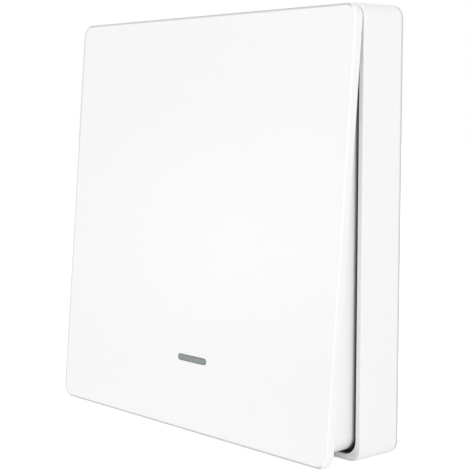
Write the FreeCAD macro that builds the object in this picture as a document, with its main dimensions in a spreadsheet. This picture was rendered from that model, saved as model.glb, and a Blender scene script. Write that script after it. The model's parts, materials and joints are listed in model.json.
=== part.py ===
"""Wireless remote wall switch with one tilting key, 86 mm square.

Frame: millimetres, origin at the centre of the back face on the wall plane, +X to the right seen
from the front, +Y into the wall, +Z up. A level is a distance in front of the wall plane, so a
level of 11 lies at Y = -11.
"""
import FreeCAD, Part
import math
import os

import Sketcher
from FreeCAD import Placement, Rotation, Vector

doc = FreeCAD.newDocument("wall_switch")
sheet = doc.addObject("Spreadsheet::Sheet", "Dims")

# Driving dimensions in millimetres and degrees: alias, value, meaning.
DRIVING = (
    ("plate_width", 86.0, "housing, side to side"),
    ("plate_height", 86.0, "housing, bottom to top"),
    ("housing_depth", 10.8, "housing, wall plane to front rim"),
    ("housing_corner", 2.6, "outer corner radius of the housing"),
    ("side_wall", 1.2, "side wall of the housing"),
    ("floor_thickness", 1.4, "floor of the housing"),
    ("tray_corner", 3.0, "inner corner radius of the housing"),
    ("least_corner", 0.4, "smallest inner corner radius of the moulded walls"),
    ("rim_rounding", 0.3, "rounding of the housing's outer edges"),
    ("rim_inner_rounding", 0.15, "rounding of the rim's inner edge"),
    ("key_thickness", 1.95, "key plate"),
    ("key_corner", 2.7, "corner radius of the key plate"),
    ("key_tilt", 4.65, "slope of the key plate at rest, lower edge out"),
    ("key_top_drop", 0.3, "housing's top down to the key plate's upper back edge"),
    ("key_seat_gap", 0.15, "rim to the key plate's upper back edge"),
    ("key_front_rounding", 0.45, "front edge of the key plate"),
    ("key_back_rounding", 0.2, "back edge of the key plate"),
    ("key_travel", 2.0, "turn of the key from rest to its stop"),
    ("skirt_side_gap", 0.9, "housing's side walls to the rocker's skirt"),
    ("skirt_end_gap", 0.5, "housing's upper and lower walls to the rocker's skirt"),
    ("skirt_wall", 1.2, "wall of the skirt"),
    ("skirt_corner", 3.2, "outer corner radius of the skirt"),
    ("skirt_floor_gap", 0.6, "skirt to the housing floor with the key pressed"),
    ("web_thickness", 1.0, "web of the rocker behind the key plate"),
    ("rib_thickness", 1.0, "stiffening ribs of the rocker"),
    ("rib_inner_place", 10.0, "inner upright ribs from the middle"),
    ("rib_outer_inset", 11.0, "outer upright ribs from the housing's side"),
    ("rib_top_drop", 13.0, "housing's top down to the upright ribs"),
    ("rib_cross_upper", -4.0, "height of the upper cross rib"),
    ("rib_cross_rise", 9.0, "housing's bottom up to the lower cross rib"),
    ("rib_cover_gap", 0.8, "ribs to the inner cover with the key pressed"),
    ("hinge_drop", 5.6, "housing's top down to the hinge axis"),
    ("hinge_level", 7.6, "level of the hinge axis"),
    ("pin_radius", 1.1, "hinge pin"),
    ("pin_clearance", 0.05, "radial play of the hinge pin"),
    ("pin_end_gap", 0.4, "hinge pin beyond the inner face of its ear"),
    ("ear_thickness", 1.4, "hinge ear, along the axis"),
    ("ear_radius", 1.9, "half width and rounded head of the hinge ear"),
    ("ear_skirt_gap", 0.8, "hinge ear to the skirt"),
    ("ear_mouth", 1.7, "snap-in mouth of the hinge ear"),
    ("cover_setback", 1.3, "rim to the front of the inner cover"),
    ("cover_thickness", 1.2, "front and walls of the inner cover"),
    ("cover_skirt_gap", 1.6, "inner cover to the skirt"),
    ("cover_top_drop", 8.5, "housing's top down to the inner cover"),
    ("cover_corner", 4.0, "corner radius of the inner cover"),
    ("cover_rounding", 0.5, "front edge of the inner cover"),
    ("catch_place", 20.0, "catches from the middle"),
    ("catch_width", 6.0, "catch on the skirt"),
    ("catch_reach", 1.1, "catch, out of the skirt"),
    ("catch_height", 1.5, "catch, along the skirt"),
    ("catch_gap", 0.3, "catch to the lip above it at rest"),
    ("lip_reach", 0.9, "lip of the inner cover over the catch"),
    ("lip_margin", 1.0, "lip beyond the catch on each side"),
    ("lip_thickness", 1.1, "lip of the inner cover"),
    ("wall_plate_thickness", 1.5, "wall plate"),
    ("wall_plate_gap", 0.25, "wall plate to the housing all round"),
    ("wall_screw_inset", 13.0, "screw slots from the housing's sides, 60 apart"),
    ("wall_slot_width", 4.2, "screw slot"),
    ("wall_slot_length", 8.4, "screw slot, end to end"),
    ("screw_head_margin", 3.2, "free floor window round a wall screw's slot"),
    ("hook_place", 20.0, "snap hooks from the middle"),
    ("hook_width", 6.0, "snap hook"),
    ("hook_thickness", 1.0, "snap hook's finger"),
    ("hook_barb", 0.7, "snap hook's barb"),
    ("hook_head", 0.9, "snap hook above the housing floor"),
    ("hook_gap", 0.3, "snap hook in its window"),
    ("hook_seat_gap", 0.1, "snap hook's barb to the housing floor"),
    ("hook_inset", 2.6, "snap hook from the inner cover's inside"),
    ("notch_width", 12.0, "pry notch in the housing's lower back edge"),
    ("notch_depth", 0.7, "pry notch"),
    ("pad_width", 56.0, "adhesive pad"),
    ("pad_height", 14.0, "adhesive pad"),
    ("pad_thickness", 0.8, "adhesive pad, flush in its recess"),
    ("pad_place", 26.0, "adhesive pads from the middle"),
    ("pad_gap", 0.3, "adhesive pad in its recess"),
    ("cover_screw_inset", 4.6, "cover screws from the outside of the inner cover"),
    ("cover_screw_boss", 2.7, "radius of the cover screw bosses"),
    ("cover_screw_head", 2.0, "radius of the cover screw heads"),
    ("cover_screw_shank", 1.0, "radius of the cover screws"),
    ("cover_screw_length", 6.0, "cover screw under its head face"),
    ("board_side_room", 6.9, "circuit board to the inner cover's side walls"),
    ("board_low_room", 6.3, "circuit board to the inner cover's lower wall"),
    ("board_top_room", 6.3, "circuit board to the inner cover's upper wall"),
    ("board_thickness", 1.2, "circuit board"),
    ("board_standoff", 1.2, "housing floor to the circuit board"),
    ("board_corner", 1.5, "corner radius of the circuit board"),
    ("board_screw_inset", 3.5, "board screws from the board's edges"),
    ("board_boss", 2.6, "radius of the board bosses"),
    ("board_screw_head", 1.8, "radius of the board screw heads"),
    ("board_screw_head_height", 1.2, "height of the board screw heads"),
    ("board_screw_shank", 0.9, "radius of the board screws"),
    ("board_screw_length", 3.2, "board screw under its head"),
    ("screw_recess", 0.7, "depth of the drive recess of the screws"),
    ("screw_recess_span", 2.1, "drive recess, end to end"),
    ("screw_recess_width", 0.35, "drive recess, across one arm"),
    ("screw_clearance", 0.1, "radial room round a screw in a hole"),
    ("cell_radius", 10.0, "coin cell"),
    ("cell_thickness", 3.2, "coin cell"),
    ("cell_rounding", 0.5, "edges of the coin cell"),
    ("cell_inset", 13.0, "coin cell's centre from the board's side"),
    ("cell_height", -4.0, "height of the coin cell's centre"),
    ("cell_opening_gap", 1.4, "coin cell to its opening in the inner cover"),
    ("contact_thickness", 0.2, "leaf under the coin cell"),
    ("contact_width", 5.0, "leaf under the coin cell"),
    ("clip_thickness", 0.3, "strap over the coin cell"),
    ("clip_width", 6.0, "strap over the coin cell"),
    ("clip_gap", 0.3, "strap to the coin cell's side"),
    ("clip_foot", 1.6, "soldered foot of the strap"),
    ("presser_drop", 21.4, "hinge axis down to the plunger"),
    ("presser_radius", 2.4, "boss of the rocker over the plunger"),
    ("presser_gap", 0.2, "plunger cap to the presser at rest"),
    ("switch_size", 6.0, "square base of the tactile switch"),
    ("switch_height", 2.4, "base of the tactile switch"),
    ("switch_cavity", 2.4, "radius of the tactile switch's cavity"),
    ("switch_cavity_depth", 1.7, "cavity of the tactile switch"),
    ("switch_cover_thickness", 0.3, "metal cover of the tactile switch"),
    ("switch_tab_length", 1.5, "bent tab of the metal cover"),
    ("switch_tab_width", 2.4, "bent tab of the metal cover"),
    ("switch_terminal", 0.3, "thickness of the switch's terminals"),
    ("switch_terminal_reach", 1.2, "terminals beside the switch"),
    ("switch_terminal_place", 2.0, "terminals from the switch's middle"),
    ("plunger_radius", 1.7, "plunger"),
    ("plunger_clearance", 0.1, "radial play of the plunger"),
    ("plunger_flange", 2.1, "radius of the plunger's flange"),
    ("plunger_flange_height", 0.6, "flange of the plunger"),
    ("plunger_play", 0.1, "flange to the metal cover"),
    ("plunger_top", 10.2, "level of the plunger's top"),
    ("cap_radius", 2.6, "soft cap of the plunger"),
    ("cap_skin", 0.5, "front of the soft cap"),
    ("cap_skirt", 1.2, "soft cap down the plunger"),
    ("cap_rounding", 0.35, "front edge of the soft cap"),
    ("cap_hole_gap", 0.5, "soft cap to its hole in the inner cover"),
    ("window_across", 2.9, "indicator window, to the right of the middle"),
    ("window_rise", 15.0, "indicator window, up the key plate from its lower edge"),
    ("window_length", 9.0, "indicator window"),
    ("window_width", 1.25, "indicator window"),
    ("window_gap", 0.06, "indicator window in its slot"),
    ("window_hole_gap", 0.5, "indicator window in the rocker's web"),
    ("guide_flange_length", 11.2, "flange of the light guide"),
    ("guide_flange_width", 3.6, "flange of the light guide"),
    ("guide_flange_height", 0.8, "flange of the light guide"),
    ("guide_stem_length", 5.0, "stem of the light guide, across"),
    ("guide_stem_width", 2.2, "stem of the light guide"),
    ("guide_reach", 7.0, "light guide behind the key plate"),
    ("guide_hole_gap", 0.9, "light guide in the inner cover's hole"),
    ("led_width", 3.2, "indicator light, across"),
    ("led_height", 2.6, "indicator light, upright"),
    ("led_base", 1.1, "thickness of the indicator light's base"),
    ("led_lens_radius", 1.1, "lens of the indicator light"),
    ("led_lens_height", 0.5, "lens of the indicator light"),
    ("spring_inset", 21.0, "return springs from the housing's side"),
    ("spring_rise", 17.0, "housing's bottom up to the return springs"),
    ("spring_radius", 2.25, "return spring, to the wire's centre"),
    ("spring_wire", 0.22, "radius of the spring wire"),
    ("spring_turns", 4.0, "turns of a return spring"),
    ("spring_seat_level", 14.3, "level of the rocker's spring seats"),
    ("spring_seat_radius", 3.2, "rocker's spring seat"),
    ("spring_stud", 1.6, "radius of the studs inside the springs"),
    ("spring_stud_height", 1.0, "studs inside the springs"),
    ("radio_width", 14.0, "radio module's board"),
    ("radio_height", 18.0, "radio module's board"),
    ("radio_thickness", 0.8, "radio module's board"),
    ("radio_inset", 11.0, "radio module's centre from the board's side"),
    ("radio_level", 1.0, "height of the radio module's centre"),
    ("shield_width", 11.0, "radio shield"),
    ("shield_height", 10.0, "radio shield"),
    ("shield_thickness", 1.6, "radio shield"),
    ("shield_rounding", 0.4, "edges of the radio shield"),
    ("shield_drop", 2.5, "radio shield below the module's centre"),
    ("antenna_lead", 4.0, "antenna's near end beside the radio module"),
    ("antenna_length", 15.0, "antenna coil"),
    ("antenna_drop", 4.1, "antenna below the board's top"),
    ("antenna_radius", 0.95, "antenna coil, to the wire's centre"),
    ("antenna_wire", 0.28, "radius of the antenna wire"),
    ("antenna_turns", 12.0, "turns of the antenna"),
    ("antenna_gap", 0.2, "antenna coil above the circuit board"),
    ("antenna_leg", 0.36, "radius of the antenna's soldered leg"),
    ("crystal_length", 10.2, "crystal's can"),
    ("crystal_width", 3.8, "crystal's can"),
    ("crystal_thickness", 2.3, "crystal's can"),
    ("crystal_base", 0.5, "crystal's base plate"),
    ("crystal_across", -9.0, "crystal from the middle"),
    ("crystal_rise", 8.0, "crystal's centre above the board's lower edge"),
    ("chip_length", 9.9, "controller chip"),
    ("chip_width", 3.9, "controller chip"),
    ("chip_thickness", 1.5, "controller chip"),
    ("chip_across", 6.0, "controller chip from the middle"),
    ("chip_rise", 16.0, "controller chip's centre above the board's lower edge"),
    ("lead_pitch", 1.27, "leads of the controller chip"),
    ("lead_count", 8.0, "leads on each side of the controller chip"),
    ("lead_width", 0.4, "leads of the controller chip"),
    ("lead_reach", 1.0, "leads out of the controller chip"),
    ("lead_rise", 0.7, "upper end of the leads above the board"),
    ("resistor_length", 1.6, "chip resistor"),
    ("resistor_width", 0.8, "chip resistor"),
    ("resistor_thickness", 0.5, "chip resistor"),
    ("resistor_pitch", 2.4, "chip resistors, centre to centre"),
    ("resistor_count", 6.0, "chip resistors"),
    ("resistor_start", 7.0, "first chip resistor from the middle"),
    ("resistor_rise", 7.0, "chip resistors above the board's lower edge"),
    ("capacitor_radius", 2.5, "smoothing capacitor"),
    ("capacitor_thickness", 2.5, "smoothing capacitor"),
    ("capacitor_base", 0.5, "base of the smoothing capacitor"),
    ("capacitor_rounding", 0.3, "edge of the smoothing capacitor"),
    ("capacitor_offset", 1.0, "smoothing capacitor beside the cell's centre"),
    ("capacitor_rise", 19.0, "smoothing capacitor above the cell's centre"),
)
for row, (alias, number, meaning) in enumerate(DRIVING, start=1):
    sheet.set(f"A{row}", meaning)
    sheet.set(f"B{row}", str(number))
    sheet.setAlias(f"B{row}", alias)
doc.recompute()


def dim(alias):
    """The expression that reads one driving dimension."""
    return f"Dims.{alias}"


def value(expression):
    """The number that an expression gives now, used for first places."""
    found = sheet.evalExpression(expression)
    return float(getattr(found, "Value", found))


# Levels and places that follow from the driving dimensions.
TILT = "(Dims.key_tilt * 1 deg)"
TRAVEL = "(Dims.key_travel * 1 deg)"
HALF_WIDTH = "(Dims.plate_width / 2)"
HALF_HEIGHT = "(Dims.plate_height / 2)"
TRAY_X = f"({HALF_WIDTH} - Dims.side_wall)"
TRAY_Z = f"({HALF_HEIGHT} - Dims.side_wall)"
TRAY_CORNER = "Dims.tray_corner"
SKIRT_X = f"({TRAY_X} - Dims.skirt_side_gap)"
SKIRT_TOP = f"({TRAY_Z} - Dims.skirt_end_gap)"
SKIRT_LOW = f"(-{SKIRT_TOP})"
SKIRT_IN_X = f"({SKIRT_X} - Dims.skirt_wall)"
SKIRT_IN_TOP = f"({SKIRT_TOP} - Dims.skirt_wall)"
SKIRT_IN_LOW = f"({SKIRT_LOW} + Dims.skirt_wall)"
COVER_X = f"({SKIRT_IN_X} - Dims.cover_skirt_gap)"
COVER_TOP = f"({HALF_HEIGHT} - Dims.cover_top_drop)"
COVER_LOW = f"({SKIRT_IN_LOW} + Dims.cover_skirt_gap)"
COVER_IN_X = f"({COVER_X} - Dims.cover_thickness)"
COVER_IN_LOW = f"({COVER_LOW} + Dims.cover_thickness)"
COVER_IN_TOP = f"({COVER_TOP} - Dims.cover_thickness)"
COVER_SCREW_X = f"({COVER_X} - Dims.cover_screw_inset)"
COVER_SCREW_LOW = f"({COVER_LOW} + Dims.cover_screw_inset)"
COVER_SCREW_TOP = f"({COVER_TOP} - Dims.cover_screw_inset)"
FLOOR_BACK = "Dims.wall_plate_thickness"
FLOOR_FRONT = f"({FLOOR_BACK} + Dims.floor_thickness)"
BOARD_BACK = f"({FLOOR_FRONT} + Dims.board_standoff)"
BOARD_FRONT = f"({BOARD_BACK} + Dims.board_thickness)"
BOARD_X = f"({COVER_IN_X} - Dims.board_side_room)"
BOARD_LOW = f"({COVER_IN_LOW} + Dims.board_low_room)"
BOARD_TOP = f"({COVER_IN_TOP} - Dims.board_top_room)"
COVER_FRONT = "(Dims.housing_depth - Dims.cover_setback)"
COVER_BACK = f"({COVER_FRONT} - Dims.cover_thickness)"
KEY_TOP = f"({HALF_HEIGHT} - Dims.key_top_drop)"
KEY_SLOPE = f"(({KEY_TOP} + {HALF_HEIGHT}) / cos({TILT}))"
KEY_BACK_TOP = "(Dims.housing_depth + Dims.key_seat_gap)"
HINGE_Z = f"({HALF_HEIGHT} - Dims.hinge_drop)"
SWITCH_Z = f"({HINGE_Z} - Dims.presser_drop)"
SWITCH_FRONT = f"({BOARD_FRONT} + Dims.switch_height)"
SWITCH_COVER_FRONT = f"({SWITCH_FRONT} + Dims.switch_cover_thickness)"
FLANGE_FRONT = f"({SWITCH_FRONT} - Dims.plunger_play)"
CAP_FRONT = "(Dims.plunger_top + Dims.cap_skin)"
CAP_BACK = "(Dims.plunger_top - Dims.cap_skirt)"
CELL_BACK = f"({BOARD_FRONT} + Dims.contact_thickness)"
CELL_FRONT = f"({CELL_BACK} + Dims.cell_thickness)"
CELL_X = f"(-({BOARD_X} - Dims.cell_inset))"
RADIO_X = f"({BOARD_X} - Dims.radio_inset)"
ANTENNA_X = f"({RADIO_X} - Dims.radio_width / 2 - Dims.antenna_lead)"
ANTENNA_Z = f"({BOARD_TOP} - Dims.antenna_drop)"
CRYSTAL_Z = f"({BOARD_LOW} + Dims.crystal_rise)"
CHIP_Z = f"({BOARD_LOW} + Dims.chip_rise)"
RESISTOR_Z = f"({BOARD_LOW} + Dims.resistor_rise)"
CAPACITOR_X = f"({CELL_X} - Dims.capacitor_offset)"
CAPACITOR_Z = "(Dims.cell_height + Dims.capacitor_rise)"
RIB_TOP = f"({HALF_HEIGHT} - Dims.rib_top_drop)"
RIB_LOW = f"(-({HALF_HEIGHT} - Dims.rib_cross_rise))"
RIB_OUTER_X = f"({HALF_WIDTH} - Dims.rib_outer_inset)"
SPRING_X = f"({HALF_WIDTH} - Dims.spring_inset)"
SPRING_Z = f"(-({HALF_HEIGHT} - Dims.spring_rise))"
WALL_SLOT_X = f"({HALF_WIDTH} - Dims.wall_screw_inset)"
WINDOW_X = "Dims.window_across"
WINDOW_DOWN = f"({KEY_SLOPE} - Dims.window_rise)"
GUIDE_Z = (
    f"({KEY_TOP} - {WINDOW_DOWN} * cos({TILT}) - Dims.guide_reach * sin({TILT}))"
)
HOOK_TOP_Z = f"({COVER_IN_TOP} - Dims.hook_inset)"
HOOK_LOW_Z = f"({COVER_IN_LOW} + Dims.hook_inset)"
SIDES = (-1, 1)


def key_back(height):
    """Level of the key plate's back plane at a height."""
    return f"({KEY_BACK_TOP} + ({KEY_TOP} - ({height})) * tan({TILT}))"


def web_back(height):
    """Level of the rocker web's back plane at a height."""
    return f"({key_back(height)} - Dims.web_thickness / cos({TILT}))"


def web_middle(height):
    """Level in the middle of the rocker's web at a height."""
    return f"({key_back(height)} - Dims.web_thickness / (2 * cos({TILT})))"


def pressed_clear(height, level):
    """Level at rest of a line that lies at the given level with the key pressed."""
    return f"({level} + ({HINGE_Z} - ({height})) * tan({TRAVEL}))"


def new_body(label):
    """A body whose label names its file."""
    body = doc.addObject("PartDesign::Body", label)
    body.Label = label
    return body


def new_sketch(body, role, level="0"):
    """A sketch on one of the body's own planes, at a distance along the plane's normal.

    On XZ_Plane the normal points out of the wall, so the distance is a level.
    """
    sketch = body.newObject("Sketcher::SketchObject", f"{body.Label}_outline")
    plane = next(o for o in body.Origin.OriginFeatures if o.Role == role)
    sketch.AttachmentSupport = (plane, [""])
    sketch.MapMode = "FlatFace"
    sketch.setExpression("AttachmentOffset.Base.z", level)
    return sketch


def bind(sketch, constraint, expression):
    """Add one constraint and let an expression drive it."""
    index = sketch.addConstraint(constraint)
    sketch.setExpression(f"Constraints[{index}]", expression)


def fix_point(sketch, geometry, point, across, up):
    """Hold a point of the sketch at a place measured from the origin."""
    if across is not None:
        bind(sketch, Sketcher.Constraint("DistanceX", -1, 1, geometry, point, value(across)), across)
    if up is not None:
        bind(sketch, Sketcher.Constraint("DistanceY", -1, 1, geometry, point, value(up)), up)


def add_polygon(sketch, points):
    """A closed outline of straight edges through the points."""
    places = [Vector(value(x), value(y), 0) for x, y in points]
    first = sketch.GeometryCount
    count = len(points)
    for i in range(count):
        sketch.addGeometry(Part.LineSegment(places[i], places[(i + 1) % count]), False)
    for i in range(count):
        following = first + (i + 1) % count
        sketch.addConstraint(Sketcher.Constraint("Coincident", first + i, 2, following, 1))
    for i, (x, y) in enumerate(points):
        fix_point(sketch, first + i, 1, x, y)


def add_rectangle(sketch, left, right, low, high):
    """A rectangle between four places."""
    add_polygon(sketch, ((left, low), (right, low), (right, high), (left, high)))


def add_circle(sketch, across, up, radius):
    """A circle round a place."""
    centre = Vector(value(across), value(up), 0)
    index = sketch.addGeometry(Part.Circle(centre, Vector(0, 0, 1), value(radius)), False)
    fix_point(sketch, index, 3, across, up)
    bind(sketch, Sketcher.Constraint("Radius", index, value(radius)), radius)


def arc(across, up, radius, start, end):
    """An arc of a circle between two angles in degrees."""
    circle = Part.Circle(Vector(across, up, 0), Vector(0, 0, 1), radius)
    return Part.ArcOfCircle(circle, math.radians(start), math.radians(end))


def line(x0, y0, x1, y1):
    """A straight edge between two places."""
    return Part.LineSegment(Vector(x0, y0, 0), Vector(x1, y1, 0))


def add_rounded(sketch, left, right, low, high, radius):
    """A rectangle with round corners."""
    x0, x1, y0, y1, r = (value(e) for e in (left, right, low, high, radius))
    g = sketch.GeometryCount
    sketch.addGeometry(line(x0 + r, y0, x1 - r, y0), False)
    sketch.addGeometry(arc(x1 - r, y0 + r, r, 270, 360), False)
    sketch.addGeometry(line(x1, y0 + r, x1, y1 - r), False)
    sketch.addGeometry(arc(x1 - r, y1 - r, r, 0, 90), False)
    sketch.addGeometry(line(x1 - r, y1, x0 + r, y1), False)
    sketch.addGeometry(arc(x0 + r, y1 - r, r, 90, 180), False)
    sketch.addGeometry(line(x0, y1 - r, x0, y0 + r), False)
    sketch.addGeometry(arc(x0 + r, y0 + r, r, 180, 270), False)
    for i in range(8):
        sketch.addConstraint(Sketcher.Constraint("Tangent", g + i, 2, g + (i + 1) % 8, 1))
    for i in (0, 4):
        sketch.addConstraint(Sketcher.Constraint("Horizontal", g + i))
    for i in (2, 6):
        sketch.addConstraint(Sketcher.Constraint("Vertical", g + i))
    for i in (3, 5, 7):
        sketch.addConstraint(Sketcher.Constraint("Equal", g + 1, g + i))
    bind(sketch, Sketcher.Constraint("Radius", g + 1, r), radius)
    fix_point(sketch, g, 1, None, low)
    fix_point(sketch, g + 2, 1, right, None)
    fix_point(sketch, g + 4, 1, None, high)
    fix_point(sketch, g + 6, 1, left, None)


def add_slot(sketch, across, up, length, width):
    """A slot with full round ends, lying along the sketch's first axis."""
    left = f"({across} - ({length} - {width}) / 2)"
    right = f"({across} + ({length} - {width}) / 2)"
    x0, x1, y, r = value(left), value(right), value(up), value(width) / 2
    g = sketch.GeometryCount
    sketch.addGeometry(arc(x0, y, r, 90, 270), False)
    sketch.addGeometry(line(x0, y - r, x1, y - r), False)
    sketch.addGeometry(arc(x1, y, r, 270, 450), False)
    sketch.addGeometry(line(x1, y + r, x0, y + r), False)
    for i in range(4):
        sketch.addConstraint(Sketcher.Constraint("Tangent", g + i, 2, g + (i + 1) % 4, 1))
    sketch.addConstraint(Sketcher.Constraint("Equal", g, g + 2))
    fix_point(sketch, g, 3, left, up)
    fix_point(sketch, g + 2, 3, right, up)
    bind(sketch, Sketcher.Constraint("Radius", g, r), f"({width}) / 2")


def add_pad(body, sketch, length, middle=False):
    """Raise a sketch along its normal, or to both sides of it."""
    pad = body.newObject("PartDesign::Pad", f"{body.Label}_pad")
    pad.Profile = sketch
    pad.setExpression("Length", length)
    pad.Midplane = middle
    doc.recompute()
    return pad


def add_pocket(body, sketch, length, middle=False):
    """Cut a sketch against its normal, or to both sides of it, and see that it cuts."""
    before = body.Shape.Volume
    pocket = body.newObject("PartDesign::Pocket", f"{body.Label}_pocket")
    pocket.Profile = sketch
    pocket.setExpression("Length", length)
    pocket.Midplane = middle
    doc.recompute()
    if not body.Shape.Volume < before:
        raise RuntimeError(f"{body.Label}: a pocket cuts nothing")
    return pocket


def round_edges(body, radius, choose):
    """Round the edges of the body that the rule picks."""
    tip = body.Tip
    names = [f"Edge{i}" for i, edge in enumerate(tip.Shape.Edges, start=1) if choose(edge)]
    if not names:
        raise RuntimeError(f"{body.Label}: no edge to round")
    fillet = body.newObject("PartDesign::Fillet", f"{body.Label}_rounding")
    fillet.Base = (tip, names)
    fillet.setExpression("Radius", radius)
    doc.recompute()
    return fillet


def lies_at(edge, level):
    """True for an edge that lies wholly at one level."""
    box = edge.BoundBox
    return abs(box.YMin + level) < 1e-4 and abs(box.YMax + level) < 1e-4


def runs_out(edge):
    """True for a straight edge that runs square to the wall."""
    box = edge.BoundBox
    return box.XLength < 1e-4 and box.ZLength < 1e-4 and box.YLength > 1e-4


def reaches(edge, across, up):
    """True for an edge that spans an outline of the given half sizes."""
    box = edge.BoundBox
    far_x = max(abs(box.XMin), abs(box.XMax))
    far_z = max(abs(box.ZMin), abs(box.ZMax))
    return abs(far_x - across) < 1e-3 or abs(far_z - up) < 1e-3


def block(name, left, right, back, front, low, high):
    """A box between two sides, two levels and two heights."""
    box = doc.addObject("Part::Box", name)
    box.setExpression("Length", f"({right}) - ({left})")
    box.setExpression("Width", f"({front}) - ({back})")
    box.setExpression("Height", f"({high}) - ({low})")
    box.setExpression("Placement.Base.x", left)
    box.setExpression("Placement.Base.y", f"-({front})")
    box.setExpression("Placement.Base.z", low)
    return box


def centred_block(name, across, up, width, height, back, front):
    """A box round a place on the wall plane, between two levels."""
    return block(
        name,
        f"({across}) - ({width}) / 2",
        f"({across}) + ({width}) / 2",
        back,
        front,
        f"({up}) - ({height}) / 2",
        f"({up}) + ({height}) / 2",
    )


def drum(name, across, up, radius, back, front):
    """A cylinder square to the wall, between two levels."""
    cylinder = doc.addObject("Part::Cylinder", name)
    cylinder.Placement = Placement(Vector(), Rotation(Vector(1, 0, 0), 90))
    cylinder.setExpression("Radius", radius)
    cylinder.setExpression("Height", f"({front}) - ({back})")
    cylinder.setExpression("Placement.Base.x", across)
    cylinder.setExpression("Placement.Base.y", f"-({back})")
    cylinder.setExpression("Placement.Base.z", up)
    return cylinder


def cone(name, across, up, back_radius, front_radius, back, front):
    """A cone square to the wall, between two levels."""
    body = doc.addObject("Part::Cone", name)
    body.Placement = Placement(Vector(), Rotation(Vector(1, 0, 0), 90))
    body.setExpression("Radius1", back_radius)
    body.setExpression("Radius2", front_radius)
    body.setExpression("Height", f"({front}) - ({back})")
    body.setExpression("Placement.Base.x", across)
    body.setExpression("Placement.Base.y", f"-({back})")
    body.setExpression("Placement.Base.z", up)
    return body


def joined(label, pieces):
    """Pieces that make one solid."""
    fuse = doc.addObject("Part::MultiFuse", label)
    fuse.Label = label
    fuse.Shapes = pieces
    return fuse


def grouped(label, pieces):
    """Like pieces that share one node and stay separate solids."""
    group = doc.addObject("Part::Compound", label)
    group.Label = label
    group.Links = pieces
    return group


def cut(label, base, tool):
    """A piece less another."""
    result = doc.addObject("Part::Cut", label)
    result.Label = label
    result.Base = base
    result.Tool = tool
    return result


def rounded_edges(label, base, radius, choose):
    """A piece with the edges that the rule picks made round."""
    doc.recompute()
    edges = [i for i, edge in enumerate(base.Shape.Edges, start=1) if choose(edge)]
    fillet = doc.addObject("Part::Fillet", label)
    fillet.Label = label
    fillet.Base = base
    size = value(radius)
    fillet.Edges = [(i, size, size) for i in edges]
    return fillet


def screw_corners(across, low, top):
    """The four corners where screws stand, as expression pairs."""
    return [(f"({side} * {across})", up) for side in SIDES for up in (low, top)]


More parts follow.
